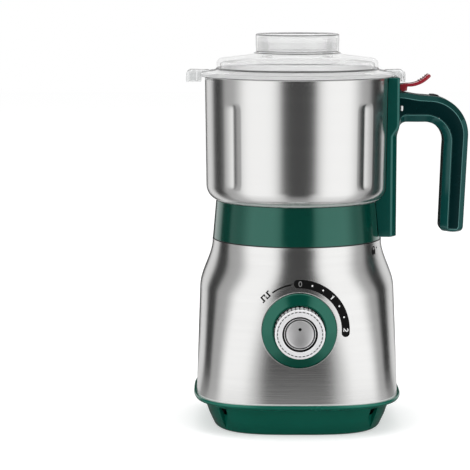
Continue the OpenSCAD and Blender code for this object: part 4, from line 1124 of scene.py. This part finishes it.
def coverOutline(h, drawn):
    g = gripValues
    w = g["width"] / 2 - drawn
    v, u = w - g["sideIn"], -h + g["bevelIn"]
    return [(-h, -v, 1.6), (-h, 0), (-h, v, 1.6), (u - 0.5, w - 0.05, 0.5), (u, w - 0.1, 0.2), (u, 0),
            (u, -w + 0.1, 0.2), (u - 0.5, -w + 0.05, 0.5)]


def gripPiece(name, outlineOf):
    rings = []
    for x, z, half, angle, drawn in gripRows():
        c, s = cos(radians(angle)), sin(radians(angle))
        rings.append([(x + u * c, y, z + u * s) for u, y in softCorners(outlineOf(half, drawn))])
    return skinPiece(name, rings, sharpAngle=40)


def onPanel(face):  # flat sides of the grip, which take a darker copy of the green: painted shade
    return abs(face.normal.y) > gripValues["panelTurn"]


def onFacet(face):  # bevels of the grip, apart from those on top of the arm, which take a lighter copy of the green: painted light
    least, most = gripValues["facetTurn"], gripValues["edgeTurn"]
    return least < abs(face.normal.y) <= most and face.normal.z < least


def onEdge(face):  # rounded edges between the sides and the bevels, which take a lighter, glossier green: painted highlight
    return abs(face.normal.y) > gripValues["edgeTurn"]


def makeHandleGrip():
    grip = gripPiece("handleGrip", shellOutline)
    seat(grip, "jar", "green_plastic", "gripGreen", "handle_grip")
    secondFinish(grip, "gripPanelShade", onPanel)
    secondFinish(grip, "gripEdgeHighlight", lambda face: onEdge(face) and not onPanel(face))
    secondFinish(grip, "gripFacetPaintedLight", onFacet)


def makeGripInnerCover():
    cover = gripPiece("gripInnerCover", coverOutline)
    seat(cover, "jar", "green_plastic", "gripGreen", "handle_inner_cover")
    secondFinish(cover, "gripEdgeHighlight", onEdge)
    secondFinish(cover, "gripFacetPaintedLight", onFacet)


brightPlateValues = {
    "low": (71.0, 217.9), "high": (72.5, 221.4), "side": 13.0, "proud": 0.4, "sunk": 0.5, "soft": 0.5,
}


def makeArmBrightPlates():  # small bright plates beside the post, one on each side of the arm
    v = brightPlateValues
    outline = softCorners([(x, z, v["soft"]) for x, z in boxOutline(*v["low"], *v["high"])], 4)
    near, far = v["side"] - v["sunk"], v["side"] + v["proud"]
    clips = [prismPiece("armBrightPlates", outline, low, high, 0.15) for low, high in ((-far, -near), (near, far))]
    seat(joinPieces(*clips), "jar", "plain_steel", "knobChrome")


leverValues = {
    "pin": (73.4, 233.6), "centre": (76.5, 254.5), "radius": 19.3, "thick": 2.2, "half": 6.5, "tip": -42.4,
    "ridges": (-64, -58, -52, -46), "ridge": 0.6, "ridgeHalf": 1.9, "root": 2.7, "pinHole": 1.65,
    "pinDepth": 6.2, "forkLow": (-6, -6), "forkHigh": (3.4, 2.9), "forkSide": (-3.3, 5.7), "crease": 38,
    "rootArc": (158, 262), "armFrom": -84,
}


def ridgeLift(angle):  # thumb ridges along the top of the tip
    v = leverValues
    away = min(abs(angle - c) for c in v["ridges"]) / v["ridgeHalf"]
    return v["ridge"] * cos(min(1, away) * pi / 2)


def leverOutline():
    v = leverValues
    px, pz = v["pin"]
    cx, cz = v["centre"]
    tip, r, half = v["tip"], v["radius"], v["thick"] / 2
    outline = [(px - 2.5, pz + 2.2, 0.5)] + arcPoints(px, pz, v["root"], *v["rootArc"], 12)
    outline += [(px + 2.2, pz - 2.2, 0.5), (px + 2.5, pz + 0.6, 0.4)]
    outline += arcPoints(cx, cz, r + half, v["armFrom"], tip, 34)
    end = radians(tip)
    outline += arcPoints(cx + r * cos(end), cz + r * sin(end), half + 0.1, tip, tip + 170, 10)
    for k in range(97):
        angle = mixValue(tip - 0.6, -90, k / 96)
        reach, a = r - half - ridgeLift(angle), radians(angle)
        outline.append((cx + reach * cos(a), cz + reach * sin(a)))
    return softCorners(outline + [(px, pz + 2.6)])


def makeLatchLever():
    v = leverValues
    px, pz = v["pin"]
    crease, deep = v["crease"], v["pinDepth"]  # the pin's ends stay under the cheeks
    lever = prismPiece("latchLever", leverOutline(), -v["half"], v["half"], 0.22, sharpAngle=crease)
    (left, low), (right, high) = v["forkLow"], v["forkHigh"]
    fork = boxOutline(px + left, pz + low, px + right, pz + high)
    shapeWith(lever, prismPiece("fork", fork, *v["forkSide"]), sharpAngle=crease)
    shapeWith(lever, rodPiece("pinHole", v["pinHole"], -deep, deep, 32, alongY(px, pz)), sharpAngle=crease)
    seat(lever, "latch", "red_plastic", "redGloss", "latch_lever")


makeCupCollar()
makeGrindingCup()
makeHandlePost()
makeHandleGrip()
makeGripInnerCover()
makeArmBrightPlates()
makeLatchLever()
print("jar, handle and latch made")

# lid and cap
lidValues = {
    "low": 241.3, "flange": 67.5, "dome": 56.0, "domeIn": 53.6, "fillet": 4.6, "domeTop": 253.3,
    "seat": 257.9, "neck": 26.9, "neckIn": 24.5, "neckTop": 264.45, "plug": (58.0, 60.4), "plugLow": 236.3,
    "earHalf": 9.8, "earLow": 237.7, "earHigh": 245.8, "earRight": 74.2, "earLeft": 76.9, "leg": 2.4,
    "wall": 2.2, "wallFrom": 66.4, "roof": 1.8, "earRoot": 61.5, "earFrom": 67.6, "rib": (-70.3, -69.1),
    "slopeEnd": (31.5, 256.3), "seatOut": 29.0, "neckFoot": 254.2, "ceiling": (51.0, 251.2),
    "domeInTop": 250.6, "columns": 192, "crease": 30,
    "whitened": [(57.0, 70.0, 241.2, 246.4)],
    "inside": [(24.4, 53.7, 244.5, 255.0)],
    # bands that take a near-black clear plastic: painted shade along the lid's edges
    "edges": [
        (55.8, 56.7, 246.2, 247.3), (66.2, 67.6, 241.0, 241.9), (66.3, 67.1, 243.7, 244.3),
        (29.0, 30.4, 257.0, 257.8),
    ],
}


def lidProfile():
    v = lidValues
    s, dome, domeIn, neck, neckIn = pick(v, "low dome domeIn neck neckIn")
    plugLow, flange, seatAt, neckTop = pick(v, "plugLow flange seat neckTop")
    plugIn, plugOut = v["plug"]
    edge = [(plugIn, plugLow, 0.6), (plugOut, plugLow, 0.6), (plugOut, s, 0.3), (flange, s, 0.7),
            (flange, s + 2.8, 0.9)]
    top = [(dome + 1.0, s + 4.5, 1.0), (dome, s + 5.6, 0.8), (dome, v["domeTop"], v["fillet"]),
           (*v["slopeEnd"], 6.0)]
    filler = [(v["seatOut"], seatAt, 0.8), (neck, seatAt, 0.4), (neck, neckTop, 0.7), (neckIn, neckTop, 0.7)]
    inside = [(neckIn, v["neckFoot"], 0.6), (*v["ceiling"], 0.6), (domeIn, v["domeInTop"], 2.2),
              (domeIn, s + 3.0, 0.8), (plugIn, s + 0.6, 0.8)]
    return softCorners(edge + top + filler + inside, 6)


def addToLid(lid, name, outline, low, high, side=1, bevel=0.0):  # side -1 mirrors the outline
    outline = outline if side > 0 else [(-x, z) for x, z in outline][::-1]
    shapeWith(lid, prismPiece(name, outline, low, high, bevel), "UNION", lidValues["crease"])


def makeLid():
    v = lidValues
    lid = lathePiece("clearLid", lidProfile(), v["columns"])
    root, low, high, half = pick(v, "earRoot earLow earHigh earHalf")
    roof = high - v["roof"]
    for side, far in ((1, v["earRight"]), (-1, v["earLeft"])):
        leg = far - v["leg"]
        ear = softCorners([(root, high - 0.3), (far, high, 3.2), (far, low, 0.5), (leg, low, 0.5),
                           (leg, roof, 1.0), (root, roof)], 6)
        addToLid(lid, "ear", ear, -half, half, side, 0.3)
        wall = boxOutline(v["wallFrom"], low + 0.1, far - 0.6, roof + 0.6)
        near, out = half - v["wall"], half - 0.05
        for start, end in ((-out, -near), (near, out)):  # side walls of the ear
            addToLid(lid, "wall", wall, start, end, side)
    left, right = v["rib"]
    addToLid(lid, "rib", boxOutline(left, low + 0.2, right, roof + 0.5), -half + 1, half - 1)
    seat(lid, "lid", "clear_plastic", "clearPlastic", "lid")
    # the flange band takes a whiter, less clear plastic, which lightens it
    secondFinish(lid, "flangePlastic", lambda face: inBands(face, v["whitened"]))
    secondFinish(lid, "veilPlastic", lambda face: inBands(face, v["inside"]) and facesAxis(face))
    secondFinish(lid, "earPlastic", lambda face: abs(face.center.x) > v["earFrom"] * mm)
    secondFinish(lid, "edgeShadePlastic", lambda face: inBands(face, v["edges"]))


capValues = {
    "radius": 29.0, "foot": 28.4, "inner": 27.2, "low": 258.2, "high": 270.7, "top": 2.6, "columns": 192,
    # bands that take a near-black clear plastic: painted shade along the cap's edges
    "edges": [(28.4, 29.1, 269.6, 270.4), (28.0, 29.0, 258.1, 258.7)],
}


def makeFillerCap():
    v = capValues
    out, foot, inner, low, high = pick(v, "radius foot inner low high")
    under = high - v["top"]
    profile = [(inner, low, 0.4), (foot, low, 0.3), (foot + 0.3, low + 0.6, 0.3), (out, high, 1.6),
               (0, high), (0, under), (inner, under, 1.2)]
    cap = lathePiece("fillerCap", softCorners(profile, 6), v["columns"])
    seat(cap, "cap", "clear_plastic", "capPlastic", "filler_cap")
    secondFinish(cap, "edgeShadePlastic", lambda face: inBands(face, v["edges"]))


makeLid()
makeFillerCap()
print("lid and cap made")


# stage, light and camera
def emptyMaterial(name):
    material = bpy.data.materials.new(name)
    material.use_nodes = True
    tree = material.node_tree
    tree.nodes.clear()
    return material, tree, tree.nodes.new("ShaderNodeOutputMaterial").inputs["Surface"]


def seenRays(tree):  # 1 for what the camera sees, in gloss and through clear walls too
    path = addNode(tree, "ShaderNodeLightPath")
    indirect = mathNode(tree, "ADD", path["Is Glossy Ray"], path["Is Transmission Ray"])
    return mathNode(tree, "ADD", path["Is Camera Ray"], indirect, True)


floorValues = {"size": 8.0, "colour": (0.8, 0.8, 0.8), "glow": 0.38, "drop": 0.0001}


def makeFloor():
    v = floorValues
    half = v["size"] / 2 / mm
    corners = [(x, y, 0) for x, y in boxOutline(-half, -half, half, half)]
    floor = meshPiece("floor", corners, [(0, 1, 2, 3)])
    material, tree, surface = emptyMaterial("paleFloor")
    matt = addNode(tree, "ShaderNodeBsdfDiffuse", {"Color": (*v["colour"], 1)})[0]
    strength = mathNode(tree, "MULTIPLY", seenRays(tree), v["glow"])
    glow = addNode(tree, "ShaderNodeEmission", {"Strength": strength})[0]
    tree.links.new(addNode(tree, "ShaderNodeAddShader", {0: matt, 1: glow})[0], surface)
    floor.data.materials.append(material)
    floor.location.z = -v["drop"]


# a card has a middle, half width and soft edge in degrees, a brightness, a lowest and a highest point
# a ring of the bowl has a radius, a height, the share of the cards in it and its own brightness
cardValues = {
    "room": 0.45, "lowFront": 0.72, "lowBelow": 0.1, "columns": 360,
    "bowl": [
        (0.05, 0.0005, 0.0, 0.08), (0.09, 0.0005, 0.0, 0.1), (0.13, 0.0005, 0.4, 0.6),
        (0.3, 0.0005, 0.75, 0.6), (0.4, 0.0005, 0.95, 0.5), (0.44, 0.02, 1.0, 0.0),
    ],
    "wallRadius": 0.45, "wall": (0.12, 0.299, 0.31, 1.2),
    "cards": {
        "leftBox": (-47, 13, 24, 1.14, 0.0, 2.0), "rightBox": (48, 13, 24, 1.16, 0.0, 2.0),
        "backHigh": (180, 50, 30, 1.0, 0.3, 2.0), "backBox": (180, 46, 16, 0.8, 0.0, 0.3),
        "backDark": (180, 24, 10, 0.02, 0.0, 0.3), "frontDark": (0, 16, 8, 0.06, 0.0, 2.0),
        "leftDark": (-112, 8, 7, 0.04, 0.0, 2.0), "rightDark": (108, 8, 7, 0.03, 0.0, 2.0),
    },
}


def shadeAt(angle, z):
    v = cardValues
    level = v["room"]
    for name, (middle, half, edge, bright, low, high) in v["cards"].items():
        if not low <= z <= high:
            continue
        if name == "frontDark" and z < v["lowBelow"]:  # narrower and sharper near the floor
            half, edge = half * v["lowFront"], edge * v["lowFront"]
        away = abs((angle - middle + 180) % 360 - 180)
        level = mixValue(level, bright, 1 - smoothStep((away - half) / edge))
    return level


def makeStudioCards():  # bright and dark cards round the object, seen only in its gloss
    v = cardValues
    columns, verts, shades = v["columns"], [], []
    for r, z, share, plain in v["bowl"] + [(v["wallRadius"], z, 1.0, 0.0) for z in v["wall"]]:
        for k in range(columns):
            angle = 360 * k / columns
            a = radians(angle)
            verts.append((r / mm * sin(a), -r / mm * cos(a), z / mm))
            shades.append(mixValue(plain, shadeAt(angle, z), share))
    cards = meshPiece("studioCards", verts, ringFaces(len(verts) // columns, columns))
    colours = cards.data.color_attributes.new("shade", "FLOAT_COLOR", "POINT")
    for vert, shade in zip(cards.data.vertices, shades):
        colours.data[vert.index].color = (shade, shade, shade, 1)
    material, tree, surface = emptyMaterial("studioCards")
    shade = addNode(tree, "ShaderNodeAttribute", attribute_name="shade")["Color"]
    tree.links.new(addNode(tree, "ShaderNodeEmission", {"Color": shade})[0], surface)
    cards.data.materials.append(material)
    for ray in ("camera", "diffuse", "shadow", "transmission", "volume_scatter"):
        setattr(cards, "visible_" + ray, False)


# a lamp has a place, a size and a power
lightValues = {
    "worldSoft": 0.75, "aim": (0, 0, 0.13),
    "lamps": {
        "leftSoft": ((-1.3, -1.1, 1.3), 1.2, 9.0), "rightSoft": ((1.3, -1.1, 1.3), 1.2, 9.0),
        "topSoft": ((0.0, -0.1, 1.7), 1.4, 6.0),
    },
}


def makeLight():
    world = bpy.data.worlds.new("whiteRoom")
    scene.world = world
    world.use_nodes = True
    tree = world.node_tree
    back = tree.nodes["Background"]
    back.inputs["Color"].default_value = (1, 1, 1, 1)
    strength = spreadOver(tree, seenRays(tree), lightValues["worldSoft"], 1.0)
    tree.links.new(strength, back.inputs["Strength"])
    for name, (place, size, power) in lightValues["lamps"].items():
        lamp = bpy.data.lights.new(name, "AREA")
        lamp.size = size
        lamp.energy = power
        obj = addObject(name, lamp)
        obj.location = place
        toAim = Vector(lightValues["aim"]) - Vector(place)
        obj.rotation_euler = toAim.to_track_quat("-Z", "Y").to_euler()
        obj.visible_glossy = False
        obj.visible_transmission = False


viewValues = {"place": (-0.0432, -1.42, 0.312), "pitch": 7.3, "lens": 156.6, "far": 50}


def makeCamera():
    camera = bpy.data.cameras.new("photoView")
    camera.lens = viewValues["lens"]
    camera.clip_end = viewValues["far"]
    obj = addObject("photoView", camera)
    obj.location = viewValues["place"]
    obj.rotation_euler = (radians(90 - viewValues["pitch"]), 0, 0)
    scene.camera = obj


makeFloor()
makeStudioCards()
makeLight()
makeCamera()
scene.view_settings.view_transform = "Standard"
clearWallBounces = 32  # clear walls stand behind each other
scene.cycles.max_bounces = clearWallBounces
scene.cycles.transmission_bounces = clearWallBounces
print("stage and light set")

bpy.context.view_layer.update()
